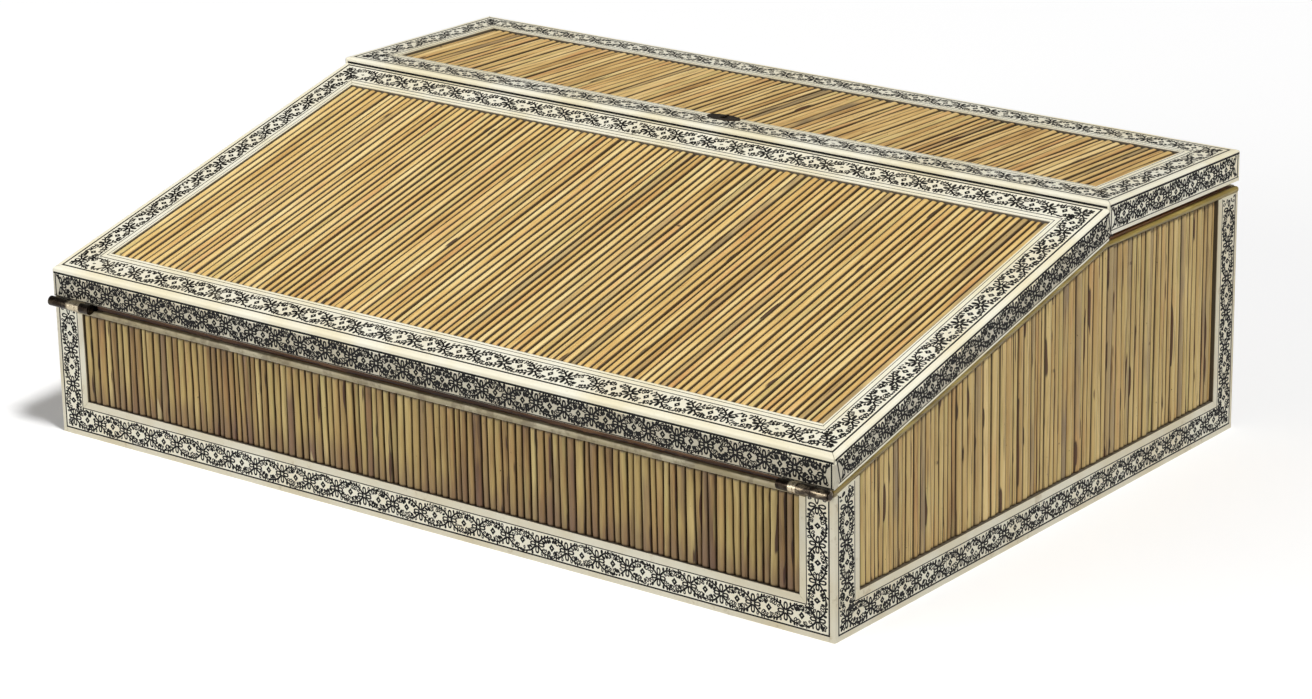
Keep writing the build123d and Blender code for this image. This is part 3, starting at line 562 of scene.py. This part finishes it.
def lay_reeds(name, face, body, material, half_span, count, bottom, top, spread, lean, greys,
              tones, full=1.02, low_knots=False):
    """Half-round reeds side by side between two edges, each a little different from the next.
    Top gives the reeds' upper ends for values of u, and tones are the mean and the spread."""
    gathered = Gathered()
    widths = np.clip(rng.normal(1.0, spread, count), 0.62, 1.42)
    bounds = np.concatenate([[0.0], np.cumsum(widths)])
    bounds = -half_span + bounds * 2 * half_span / bounds[-1]
    leans = rng.normal(0, lean, count + 1)
    waves = rng.uniform(0.02, 0.09, count + 1)
    phases = rng.uniform(0, 2 * pi, count + 1)
    turns = rng.uniform(0.5, 1.6, count + 1)
    for values in (leans, waves):
        values[0] = values[-1] = 0.0
    length = np.max(top(np.array([0.0, ridge_y, -ridge_y]))) - bottom

    def bound(j, v):
        t = (v - bottom) / length
        wave = waves[j] * np.sin(2 * pi * turns[j] * t + phases[j])
        return bounds[j] + leans[j] * (t - 0.5) + wave

    arc = np.linspace(0, pi, reed_sides)
    for j in range(count):
        high = top(np.array([(bounds[j] + bounds[j + 1]) / 2]))[0]
        steps = np.linspace(bottom, high, max(8, int((high - bottom) / ring_spacing)))
        knot = no_knot
        if rng.random() < knot_share:
            reach = (bottom + 4, bottom + 12) if low_knots else (bottom + 8, high - 8)
            knot = rng.uniform(*reach)
            steps = np.append(steps, knot + knot_rings)
        steps = np.append(steps, [bottom + 0.35, bottom + 0.9, high - 0.9, high - 0.35])
        gap = rng.uniform(0.03, 0.21)
        seed = rng.uniform(0, 50)
        tone = np.clip(rng.normal(*tones), 0.02, 0.98)
        grey = (rng.random() < greys) * rng.uniform(0.5, 1.0)
        crest = rng.uniform(0.97, 1.10)
        bend = rng.uniform(-0.16, 0.16)
        drift = rng.uniform(0, 2 * pi)
        rise = rng.uniform(0.01, 0.05)
        points, marks, ends = [], [], []
        for v in np.sort(steps):
            start, end = bound(j, v) + gap, bound(j + 1, v) - gap
            centre, half = (start + end) / 2, (end - start) / 2
            inside = min(v - bottom, high - v)
            at_knot = 0.04 * np.exp(-((v - knot) / 1.5) ** 2)
            swell = 1 + at_knot + rise * sin(v * 0.11 + drift)
            rounded_end = 1 - 0.32 * np.exp(-inside / 0.4)
            height = min(full * half * crest, tallest_reed) * swell * rounded_end
            u = centre - half * np.cos(arc)
            w = height * np.sin(arc) * (1 + bend * np.cos(arc))
            cut = bottom + (v - bottom) * (top(u) - bottom) / (high - bottom)
            points.append(np.stack([u, cut, w - skin], 1))
            marks.append(np.stack([-np.cos(arc), cut, np.full(reed_sides, seed)], 1))
            ends.append(np.tile([inside, 0.0, 0.0], (reed_sides, 1)))
        points = np.concatenate(points)
        kinds = np.tile([tone, grey, knot], (len(points), 1))
        gathered.add(face.place(points), tube_faces(len(steps), reed_sides),
                     place=np.concatenate(marks), kind=kinds, ends=np.concatenate(ends))
    gathered.finish(name + "_laid", body, "reeds", material, (name,), 55)


def level_top(height):
    return lambda u: np.full(len(u), height)


def side_top(way, short=0.0):
    """Upper end of what lies on a side wall, where u runs to the back or, by way -1, forwards."""
    return lambda u: side_rim(way * u) - rim_moulding - short


base_low = base_bead + band + inner_fillet
long_half = half_width - skin - band - inner_fillet
short_half = -front_y - skin - band - inner_fillet
cover_half = half_width - cover_bead - band - inner_fillet
slope_from = (cover_bead + band + inner_fillet) / cos(slope_angle)
slope_to = (flap_end - upper_edge_strip - band - inner_fillet - front_y) / cos(slope_angle)
lid_from = (lid_start + cover_bead + band + inner_fillet - ridge_y) / cos(fall_angle)
lid_to = (back_y - cover_bead - band - inner_fillet - ridge_y) / cos(fall_angle)

long_wall = {"spread": 0.13, "lean": 0.35, "greys": 0.18, "low_knots": True}
lay_reeds("front_reeds", front, "base", reed_front, long_half, 105, base_low,
          level_top(front_wall_top - top_strip), tones=(0.52, 0.13), **long_wall)
for name, face, way in (("right_reeds", right, 1), ("left_reeds", left, -1)):
    lay_reeds(name, face, "base", reed_side, short_half, 84, base_low, side_top(way),
              spread=0.26, lean=0.5, greys=0.18, tones=(0.55, 0.11), full=0.72)
lay_reeds("back_reeds", back, "base", reed_front, long_half, 105, base_low,
          level_top(back_wall_top - top_strip), tones=(0.55, 0.13), **long_wall)
lay_reeds("flap_reeds", slope, "flap", reed_slope, cover_half, 105, slope_from,
          level_top(slope_to), spread=0.08, lean=0.4, greys=0.05, tones=(0.64, 0.07))
lay_reeds("lid_reeds", lid_face, "lid", reed_lid, cover_half, 105, lid_from,
          level_top(lid_to), spread=0.10, lean=0.5, greys=0.10, tones=(0.60, 0.10))


# Strips and mouldings, each swept from ring to ring with its own wear

def lay_bar(name, body, slot, material, stations, ring):
    """A closed bar whose cross-section, given by ring(station, wear), follows its stations."""
    waves = [(rng.uniform(*rates), rng.uniform(0, 2 * pi))
             for rates in ((0.02, 0.06), (0.08, 0.16), (0.3, 0.5))]
    rings = []
    for station in stations:
        wave = sum(np.sin(rate * station + phase) for rate, phase in waves) / 6 + 0.5
        rings.append(ring(station, np.clip(wave + rng.normal(0, 0.12), 0, 1)))
    points = np.concatenate(rings) * MM
    faces = tube_faces(len(rings), len(rings[0]))
    volume = sum(np.dot(points[a], np.cross(points[b], points[c]))
                 for a, *others in faces for b, c in zip(others, others[1:]))
    if volume < 0:
        faces = [tuple(reversed(corners)) for corners in faces]
    bar = Gathered()
    bar.add(points, faces)
    bar.finish(name + "_worn", body, slot, material, (name,), 35)


lipping_front, lipping_back = -149.5, -141.5
lipping_foot = 60.6


def lipping_ring(x, wear):
    worn = 0.45 * wear
    under = [flap_top(y) - flap_thickness - 0.02 for y in (-149.4, lipping_back)]
    outline = [(-149.32 + 0.4 * worn, under[0]), (lipping_front + 0.5 * worn, 62.75),
               (-149.46 + worn, 61.9), (lipping_front + 0.7 * worn, 61.3 + 0.3 * worn),
               (-149.2 + worn, 60.8 + 0.6 * worn), (-148.6, lipping_foot + 0.5 * worn),
               (lipping_back, lipping_foot), (lipping_back, under[1])]
    return np.array([(x, y, z) for y, z in outline])


def strip_ring(edge, inward, top):
    """Ring of the strip on top of a wall's reeds: how far in and how far down its corners are."""
    def ring(x, wear):
        worn = 0.28 * wear
        outline = [(0.25 + worn, top_strip), (0.04 + worn, 2.2), (worn, 1.3), (0.08 + worn, 0.5),
                   (0.4 + worn, 0.02 + worn * 0.6), (1.2, worn * 0.4), (skin, 0.0),
                   (skin, top_strip)]
        return np.array([(x, edge + inward * a, top - b) for a, b in outline])
    return ring


seam_from, seam_widest = ridge_y - 1.5, ridge_y + 0.5


def rim_ring(side):
    """Ring of a side wall's moulding, which is worn down most where the lid's edge begins."""
    def ring(y, wear):
        worn = 0.16 * wear
        outline = [(skin, 0.0), (1.0, 0.0), (0.45 + worn, 0.12 + worn), (0.12 + worn, 0.6),
                   (worn, 1.2), (worn, 1.8), (0.16 + worn, 2.4), (0.5, 2.72),
                   (0.8, rim_moulding), (skin, rim_moulding)]
        open_seam = np.interp(y, [seam_from, seam_widest, back_y], [0.0, 1.3, 0.35])
        top = side_rim(y) - open_seam
        left_over = 1 - open_seam / rim_moulding
        return np.array([(side * (half_width - a), y, top - b * left_over) for a, b in outline])
    return ring


lay_bar("flap_lipping", "flap", "lipping_wood", lipping, np.linspace(-184, 184, 150),
        lipping_ring)
strip_stations = np.linspace(-196.25, 196.25, 160)
for name, edge, inward, top in (("front", front_y, 1, front_wall_top),
                                ("back", back_y, -1, back_wall_top)):
    lay_bar(name + "_top_strip", "base", "bone_plain", bone_worn, strip_stations,
            strip_ring(edge, inward, top))
rim_stations = np.concatenate([np.linspace(front_y, seam_from, 69), [ridge_y],
                               np.linspace(seam_widest, back_y, 39)])
for side, name in ((-1, "left"), (1, "right")):
    lay_bar(name + "_rim_moulding", "base", "rim_wood", rim_wood, rim_stations, rim_ring(side))


# Engraved bands

inlay_foot = -0.05
petal_foot = 0.55


def axes(along):
    """A direction on a face, and the one to its left."""
    d = np.array(along, float)
    return d, np.array([-d[1], d[0]])


class Engraving(Gathered):
    """Thin inlays drawn on a face in its u and v, left out above a limit or beyond a span."""

    def __init__(self, face=None, limit=None):
        super().__init__()
        self.face = face
        self.limit = limit
        self.span = (-np.inf, np.inf)

    def inlay(self, outer, inner=None):
        """A flat shape between its rim and its foot, with a hole where an inner rim is given."""
        n = len(outer)
        if self.limit is not None and np.any(outer[:, 1] > self.limit(outer[:, 0])):
            return
        if np.min(outer[:, 0]) < self.span[0] or np.max(outer[:, 0]) > self.span[1]:
            return
        top = 0.012 + 0.014 * rng.random()
        rims = [(outer, top), (outer, inlay_foot)]
        if inner is not None:
            rims += [(inner, inlay_foot), (inner, top)]
        points = np.concatenate([np.column_stack([rim, np.full(n, w)]) for rim, w in rims])
        faces = []
        for j in range(n):
            m = (j + 1) % n
            for k in range(1 if inner is None else 4):
                a, b = k * n, ((k + 1) % len(rims)) * n
                faces.append((a + m, a + j, b + j, b + m))
        if inner is None:
            faces.append(tuple(range(n)))
            faces.append(tuple(range(2 * n - 1, n - 1, -1)))
        self.add(self.face.place(points), faces)

    def stroke(self, path, width):
        """A line of a given width along a path, its corners mitred."""
        path = np.asarray(path, float)
        steps = np.diff(path, axis=0)
        steps /= np.linalg.norm(steps, axis=1, keepdims=True)
        sides = np.stack([-steps[:, 1], steps[:, 0]], 1)
        bends = sides[:-1] + sides[1:]
        bends = 2 * bends / (bends ** 2).sum(1, keepdims=True)
        offsets = np.concatenate([sides[:1], bends, sides[-1:]])
        offsets = offsets * np.reshape(width, (-1, 1)) / 2
        self.inlay(np.concatenate([path - offsets, (path + offsets)[::-1]]))

    def rule(self, points, width, pieces=12.0):
        """A line from point to point, cut into pieces of about this length."""
        points = np.array(points, float)
        path = [points[0]]
        for a, b in zip(points, points[1:]):
            n = max(1, int(np.linalg.norm(b - a) / pieces))
            path.extend(a + (b - a) * k / n for k in range(1, n + 1))
        self.stroke(path, width)

    def petal(self, centre, direction, start, length, half, line=None, sides=10):
        """A drop-shaped loop from start outwards, filled where no line width is given."""
        turn = np.linspace(0, 2 * pi, sides, endpoint=False)
        share = (1 - np.cos(turn)) / 2
        slimness = petal_foot + (1 - petal_foot) * share
        d, across = axes(direction / np.hypot(*direction))

        def drop(away, half):
            aside = half * np.sin(turn) * slimness
            return centre + away[:, None] * d + aside[:, None] * across

        rim = drop(start + length * share, half)
        if line is None:
            self.inlay(rim)
        else:
            core = start + line * 1.1 + (length - 2.1 * line) * share
            self.inlay(rim, drop(core, half - line))

    def diamond(self, centre, along, half_long, half_high, line):
        """An open diamond, whose line is a share of its size."""
        d, across = axes(along)
        turn = np.array([[1, 0], [0, 1], [-1, 0], [0, -1]], float)
        rim = centre + turn[:, :1] * half_long * d + turn[:, 1:] * half_high * across
        self.inlay(rim, centre + (rim - centre) * (1 - line))


# How a band is engraved: its reach from its middle, the flowers' distance, a line's width and
# a leaf's length, the shares of leaves left out, of leaves and petals looped, and the fading
Style = namedtuple("Style", "reach pitch line leaf dropped loops open_petals fading")
base_style = Style(4.95, 15.7, 0.72, 2.45, 0.02, 0.55, 1.0, 0.0)
side_style = Style(4.95, 15.7, 0.84, 2.65, 0.02, 0.50, 1.0, 0.0)
slope_style = Style(5.10, 15.8, 0.72, 2.40, 0.03, 0.20, 0.35, 0.03)
front_edge_style = Style(4.95, 14.1, 0.84, 2.75, 0.0, 0.45, 1.0, 0.0)
side_edge_style = Style(4.75, 14.1, 0.82, 2.70, 0.0, 0.40, 1.0, 0.0)
drawn_reach = 4.7
drawn_half_pitch = 7.85

# A sprig's stem, as distances along the band and towards its edge, and its leaves: foot, way, size
sprig_stem = np.array([(0.45, 0.45), (1.4, 1.4), (2.4, 2.35), (3.6, 3.15), (5.0, 3.6), (6.4, 3.7)])
sprig_leaves = [
    ((2.4, 2.6), (0.05, 1.0), 0.80),
    ((2.6, 1.9), (1.0, -0.50), 0.80),
    ((3.9, 3.4), (0.55, 0.9), 0.60),
    ((4.0, 2.9), (0.75, -0.9), 0.95),
    ((5.2, 3.7), (0.60, 0.9), 0.55),
    ((5.4, 3.3), (0.55, -1.0), 0.95),
    ((6.3, 3.7), (1.0, 0.25), 0.85),
    ((6.6, 3.4), (0.35, -1.0), 0.80),
]
fading_from = 2.5
leaf_line = 0.54
looped_half, filled_half = 1.24, 0.94
petal_start = 0.34
petal_along, petal_across = 3.4, 3.7
diamond_line = 0.76


def shake(size):
    return rng.normal(0, size, 2)


def draw_flower(inlays, centre, along, style):
    """Four looped petals on short stalks round a small open heart."""
    d, across = axes(along)
    size = style.reach / drawn_reach
    for turn, length in ((d, petal_along), (-d, petal_along), (across, petal_across),
                         (-across, petal_across)):
        looped = rng.random() < style.open_petals
        half, line = (looped_half, 0.08 + style.line) if looped else (filled_half, None)
        inlays.petal(centre, turn + shake(0.05), petal_start * size,
                     length * size * rng.uniform(0.92, 1.02), half * size, line, 14)


def draw_leaf(inlays, spot, direction, style, size=1.0):
    length = style.leaf * size * rng.uniform(0.85, 1.1)
    half = length * rng.uniform(0.34, 0.40)
    line = leaf_line if rng.random() < style.loops and size > 0.75 else None
    inlays.petal(spot, direction + shake(0.12), -0.15, length, half, line, 8)


def draw_sprig(inlays, centre, along, side, half_pitch, style):
    """A leafy stem that leaves a flower slantwise and bends along the band's edge."""
    d, across = axes(along)
    across *= side
    stretch = half_pitch / drawn_half_pitch
    size = style.reach / drawn_reach
    stem = sprig_stem * (stretch, size)
    path = centre + stem[:, :1] * d + stem[:, 1:] * across
    path[1:] += rng.normal(0, 0.07, (len(path) - 1, 2))
    if rng.random() < style.dropped:
        path = path[:4]
    inlays.stroke(path, style.line * np.linspace(1.3, 0.85, len(path)))
    for foot, way, scale in sprig_leaves:
        faded = style.fading * (foot[0] - fading_from)
        if rng.random() < style.dropped + faded:
            continue
        spot = centre + foot[0] * stretch * d + foot[1] * size * across + shake(0.08)
        scale *= 1 - faded
        draw_leaf(inlays, spot, way[0] * d + way[1] * across, style, scale * (0.4 + 0.6 * size))


def draw_run(inlays, start, end, style, first=True, last=True, before=False, after=False,
             tail=None):
    """Flowers from start to end, with sprigs and a diamond between neighbours. The flowers at
    first and last are drawn where wanted, as are sprigs before and after them, tail long."""
    start, end = np.array(start, float), np.array(end, float)
    whole = np.linalg.norm(end - start)
    d = (end - start) / whole
    cells = max(1, round(whole / style.pitch))
    half = whole / cells / 2
    for k in range(cells + 1):
        spot = start + d * whole * k / cells + shake(0.1)
        if (k > 0 or first) and (k < cells or last):
            draw_flower(inlays, spot, d, style)
        for way, inside, wanted in ((d, k < cells, after), (-d, k > 0, before)):
            if inside or wanted:
                reach = half if inside or tail is None else tail
                for side in (1, -1):
                    draw_sprig(inlays, spot, way, side, reach, style)
        if k < cells:
            wide, high = (1.40, 1.60) if rng.random() > style.fading * 7 else (1.1, 0.55)
            high *= style.reach / drawn_reach
            inlays.diamond(spot + half * d + shake(0.1), d, wide, high, diamond_line)


def draw_corner(inlays, centre, outwards, style):
    """The sprig that fills the outer corner beyond a corner flower."""
    out = np.array(outwards, float)
    inlays.stroke([centre + 0.36 * out, centre + 1.4 * out, centre + 2.6 * out], style.line)
    for foot, turn, size in ((1.5, (1, 0.1), 1.0), (1.5, (0.1, 1), 1.0), (2.7, (1, -0.4), 0.85),
                             (2.7, (-0.4, 1), 0.85), (2.5, (1, 1), 0.95)):
        draw_leaf(inlays, centre + foot * out, turn * out, style, size)


def draw_frame(inlays, u, low, high, width, pieces=12.0):
    """A ruled frame in two halves, each from the middle of its foot to that of its head."""
    for end in (u, -u):
        inlays.rule([(0, low), (end, low), (end, high), (0, high)], width, pieces)


line_width = 0.42
outer_width = 0.68
line_inset = 0.24
cover_line, cover_line_width = -0.85, 0.85
fillet_line, fillet_line_width = band + 2.05, 0.3
seam_line = 0.92
joint_width = 0.15
clearance = 0.05
limit_gap = 0.3


def draw_joints(inlays, along_u, start, end, low):
    """Hairlines across a band where its pieces of bone meet."""
    low, high = low + clearance, low + band - clearance
    for share in (0.22, 0.47, 0.76):
        at = start + (end - start) * (share + rng.uniform(-0.06, 0.06))
        ends = [(at, low), (at, high)] if along_u else [(low, at), (high, at)]
        inlays.stroke(ends, joint_width)


def engrave_wall(wall, face, half, limit, style):
    """Bands at the foot and the two ends of a wall, cut off at the wall's upper limit."""
    inlays = Engraving(face, limit)
    middle = half - band / 2
    low = base_bead + band / 2
    draw_run(inlays, (-middle, low), (middle, low), style)
    draw_joints(inlays, True, -middle, middle, base_bead)
    for side in (-1, 1):
        top = limit(np.array([side * middle]))[0] + limit_gap
        cells = int((top - 3.0 - low) / style.pitch)
        foot = (side * middle, low)
        draw_run(inlays, foot, (foot[0], low + cells * style.pitch), style, first=False,
                 after=True)
        draw_corner(inlays, np.array(foot), (side, -1), style)
        for inset, width in ((line_inset, outer_width), (band - line_inset, line_width)):
            at = side * (half - inset)
            line_top = min(limit(np.array([at - width, at + width]))) - clearance
            line_foot = base_bead + inset
            inlays.rule([(at, line_top), (at, line_foot), (0, line_foot)], width)
    inlays.finish(wall + "_engraving", "base", "bone_engraved", ink)


def engrave_cover(body, face, v_from, v_to):
    """The mitred frame of bands on the slope or the lid."""
    inlays = Engraving(face)
    half = half_width - cover_bead
    stretch = (band + cover_line) / 2
    middle = half - stretch
    low, high = v_from + stretch, v_to - stretch
    corners = [(-middle, low), (middle, low), (middle, high), (-middle, high)]
    for k in range(4):
        draw_run(inlays, corners[k], corners[(k + 1) % 4], slope_style, last=False)
        outwards = (np.sign(corners[k][0]), -1 if k < 2 else 1)
        draw_corner(inlays, np.array(corners[k]), outwards, slope_style)
    for inset, width in ((cover_line, cover_line_width), (band - line_inset, line_width),
                         (fillet_line, fillet_line_width)):
        draw_frame(inlays, half - inset, v_from + inset, v_to - inset, width)
    for low in (v_from, v_to - band):
        draw_joints(inlays, True, -middle, middle, low)
    for low in (-half, half - band):
        draw_joints(inlays, False, v_from, v_to, low)
    inlays.finish(body + "_engraving", body, "bone_engraved", ink_worn)


edge_margin = 1.7
edge_flower = 4.4
edge_tail = 3.3
end_line = 1.3
line_ends = 0.3


def engrave_edge(body, strips):
    """Narrow bands on the edges of the flap or the lid: each has a face, its start and end in
    u, its foot and head in v, and its style."""
    inlays = Engraving()
    for inlays.face, start, end, foot, head, style in strips:
        inlays.span = (start + edge_margin, end - edge_margin)
        middle = (foot + head) / 2
        draw_run(inlays, (start + edge_flower, middle), (end - edge_flower, middle), style,
                 before=True, after=True, tail=edge_tail)
        inlays.span = (start + clearance, end - clearance)
        for at in (start + end_line, end - end_line):
            inlays.rule([(at, foot), (at, head)], outer_width, 5.0)
        for v, width in ((head, seam_line), (foot, line_width)):
            inlays.rule([(start + line_ends, v), (end - line_ends, v)], width)
    inlays.finish(body + "_edge_engraving", body, "bone_engraved", ink)


board_half = half_width - skin
side_half = -front_y - skin
front_limit, back_limit = (level_top(top - limit_gap) for top in (front_wall_top, back_wall_top))
engrave_wall("front", front, board_half, front_limit, base_style)
engrave_wall("back", back, board_half, back_limit, base_style)
engrave_wall("right", right, side_half, side_top(1, limit_gap), side_style)
engrave_wall("left", left, side_half, side_top(-1, limit_gap), side_style)

flap_from = cover_bead / cos(slope_angle)
flap_to = (flap_end - upper_edge_strip - front_y) / cos(slope_angle)
engrave_cover("flap", slope, flap_from, flap_to)
lid_band_from = (lid_start + cover_bead - ridge_y) / cos(fall_angle)
lid_band_to = (back_y - cover_bead - ridge_y) / cos(fall_angle)
engrave_cover("lid", lid_face, lid_band_from, lid_band_to)


def side_edges(y, z, along, out, length, foot, head):
    """Strips on the right and the left edge of a cover that starts at y and z."""
    return [(Face((side * half_width, y, z), side * along, out), *sorted((0.0, side * length)),
             foot, head, side_edge_style) for side in (1, -1)]


# Edges of the covers, whose v is measured from their upper surface
side_foot, side_head = -12.05, -1.5
front_foot, front_head = -flap_thickness + 0.3, -2.4
slope_foot, slope_head = side_foot * cos(slope_angle), side_head * cos(slope_angle)
flap_length = (flap_end - front_y) / cos(slope_angle)
engrave_edge("flap", [
    (Face((0, front_y, front_height), rightwards, upright), -half_width, half_width, front_foot,
     front_head, front_edge_style),
    *side_edges(front_y, front_height, slope_up, slope_out, flap_length, slope_foot, slope_head),
])

# The dark line of painted shade at the foot of the lid's front, in the gap where the flap's end
# meets it
seam_shade = Engraving(Face((0, lid_start, 0), rightwards, upright))
recess_at, recess_half = flap_top(flap_end) + 0.6, half_width - end_line
seam_shade.rule([(-recess_half, recess_at), (recess_half, recess_at)], 0.95)
seam_shade.finish("lid_front_shade_line", "lid", "bone_engraved", ink)

lid_length = (back_y - lid_start) / cos(fall_angle)
engrave_edge("lid", [
    *side_edges(lid_start, lid_top(lid_start), lid_back, lid_out, lid_length, side_foot,
                side_head),
    (Face((0, back_y, lid_top(back_y)), leftwards, upright), -half_width, half_width, side_foot,
     side_head, side_edge_style),
])


# Slots of the screws, and gilt lines tooled round the leather

slot_reach = 1.2
slot_width = 0.45


def seen_from(origin, out):
    """A face by its normal, with u along the box's width."""
    return Face(origin, rightwards, np.cross(out, rightwards))


def cut_slots(body, groups):
    """Slots of screws: each group has a spot and way of its face, its distance from the middle,
    and where its screws are from there."""
    slots = Engraving()
    for origin, out, centre, offsets in groups:
        slots.face = seen_from(origin, out)
        for side in (-1, 1):
            for offset in offsets:
                spot = np.array([side * centre + offset, 0.0])
                turn = rng.uniform(0, pi)
                reach = slot_reach * np.array([cos(turn), sin(turn)])
                slots.stroke([spot - reach, spot, spot + reach], slot_width)
    slots.finish(body + "_screw_slots", body, "screw_steel", ink)


front_screws_y, back_screws_y = front_y + screw_inset, back_y - screw_inset
under_flap = flap_top(front_screws_y) - flap_thickness - hinge_leaf / cos(slope_angle)
under_lid = lid_top(back_screws_y) - lid_thickness - hinge_leaf / cos(fall_angle)
bolt_z = lid_top(lid_start) - lid_thickness + 3.8
case_y, case_z = lid_start + 16.0, bolt_z - 3.6
strike_screws, case_screws = 11.0, 14.0
both = (-screw_offset, screw_offset)
one = (0.0,)
cut_slots("base", [
    ((0, front_screws_y, front_wall_top + hinge_leaf), upright, front_hinge_x, both),
    ((0, back_screws_y, back_wall_top + hinge_leaf), upright, back_hinge_x, both),
])
cut_slots("flap", [
    ((0, front_screws_y, under_flap), -slope_out, front_hinge_x, both),
    ((0, flap_end, bolt_z), (0, 1, 0), strike_screws, one),
])
cut_slots("lid", [
    ((0, back_screws_y, under_lid), -lid_out, back_hinge_x, both),
    ((0, case_y, case_z), (0, 0, -1), case_screws, one),
])

corner_inset = 15.5
tooling = Engraving(seen_from(slope.origin - slope_out * leather_depth, -slope_out))
for inset, width in ((7.0, 0.8), (9.0, 0.35)):
    low, high = -leather_low - inset, -leather_high + inset
    draw_frame(tooling, leather_half - inset, low, high, width, 5.0)
for u in (-1, 1):
    for v in (-leather_low - corner_inset, -leather_high + corner_inset):
        spot = np.array([u * (leather_half - corner_inset), v])
        for way in ((1, 0), (-1, 0), (0, 1), (0, -1)):
            tooling.petal(spot, way, 0.6, 3.6, 0.9, 0.4, 12)
        tooling.diamond(spot, (1, 0), 0.6, 0.6, 0.5)
tooling.finish("leather_tooling", "flap", "writing_leather", gilt)


# Floor, light and camera

white = (1.0, 1.0, 1.0, 1.0)
floor_grey = (0.50, 0.50, 0.50, 1.0)
floor_glow = 0.06
floor_reach = 6.0
sky_strength = 0.16


def floor_paint():
    """Pale floor that the camera sees as white, with the object's shadow on it."""
    paint = new_paint("floor")
    rays = paint.node("ShaderNodeLightPath", {})
    seen = paint.most(rays["Is Camera Ray"], rays["Is Glossy Ray"])
    seen = paint.most(seen, rays["Is Transmission Ray"])
    tints = {0: seen, 6: floor_grey, 7: white}
    paint.fill(paint.shader, {
        "Base Color": paint.node("ShaderNodeMix", tints, data_type="RGBA")[2],
        "Roughness": 0.9,
        "Specular IOR Level": 0.0,
        "Emission Color": white,
        "Emission Strength": paint.times(seen, floor_glow),
    })
    return paint.owner


floor_mesh = bpy.data.meshes.new("floor")
corners = ((-1, -1), (1, -1), (1, 1), (-1, 1))
floor_mesh.from_pydata([(x * floor_reach, y * floor_reach, 0) for x, y in corners], [],
                       [(0, 1, 2, 3)])
floor_mesh.materials.append(floor_paint())
floor = new_object("floor", floor_mesh)

# The world is white to the camera and through glass, a weak light otherwise
world = bpy.data.worlds.new("studio")
scene.world = world
sky = Paint(world, "Background")
sky_rays = sky.node("ShaderNodeLightPath", {})
sky_seen = sky.most(sky_rays["Is Camera Ray"], sky_rays["Is Transmission Ray"])
sky_light = sky.between(sky_seen, 0.0, 1.0, sky_strength, 1.0)
sky.fill(sky.shader, {"Color": white, "Strength": sky_light})


aim = Vector((0, 0, 0.06))


def lamp(name, kind, at, strength, **sizes):
    light = bpy.data.lights.new(name, kind)
    light.energy = strength
    for key, value in sizes.items():
        setattr(light, key, value)
    holder = new_object(name, light)
    holder.location = at
    holder.rotation_euler = (aim - Vector(at)).to_track_quat("-Z", "Y").to_euler()


key_way = Vector((0.526, -0.118, 1.0)).normalized()
lamp("key", "SUN", aim + 4 * key_way, 2.5, angle=radians(9.5))
lamp("fill", "AREA", (-1.3, -3.2, 1.0), 55.0, shape="RECTANGLE", size=2.4, size_y=1.4)

# The camera that fits the photograph. Its place is given from the middle of the front edge's
# foot, in metres along its own axes.
camera_data = bpy.data.cameras.new("camera")
camera_data.sensor_width = 36.0
camera_data.lens = 112.95
azimuth, elevation, roll = radians(38.115), radians(18.755), radians(-1.038)
offset_right, offset_up, distance = 0.097156, 0.074634, 1.70542
toward = Vector((sin(azimuth) * cos(elevation), -cos(azimuth) * cos(elevation), sin(elevation)))
rightward = Vector((0, 0, 1)).cross(toward).normalized()
upward = toward.cross(rightward)
tilted_right = rightward * cos(roll) + upward * sin(roll)
tilted_up = upward * cos(roll) - rightward * sin(roll)
eye = tilted_right * offset_right + tilted_up * offset_up + toward * distance
eye = eye + Vector((0, front_y * MM, 0))
turned = Matrix((tilted_right, tilted_up, toward)).transposed().to_4x4()
scene.camera = new_object("camera", camera_data)
scene.camera.matrix_world = Matrix.Translation(eye) @ turned
scene.view_settings.view_transform = "Standard"
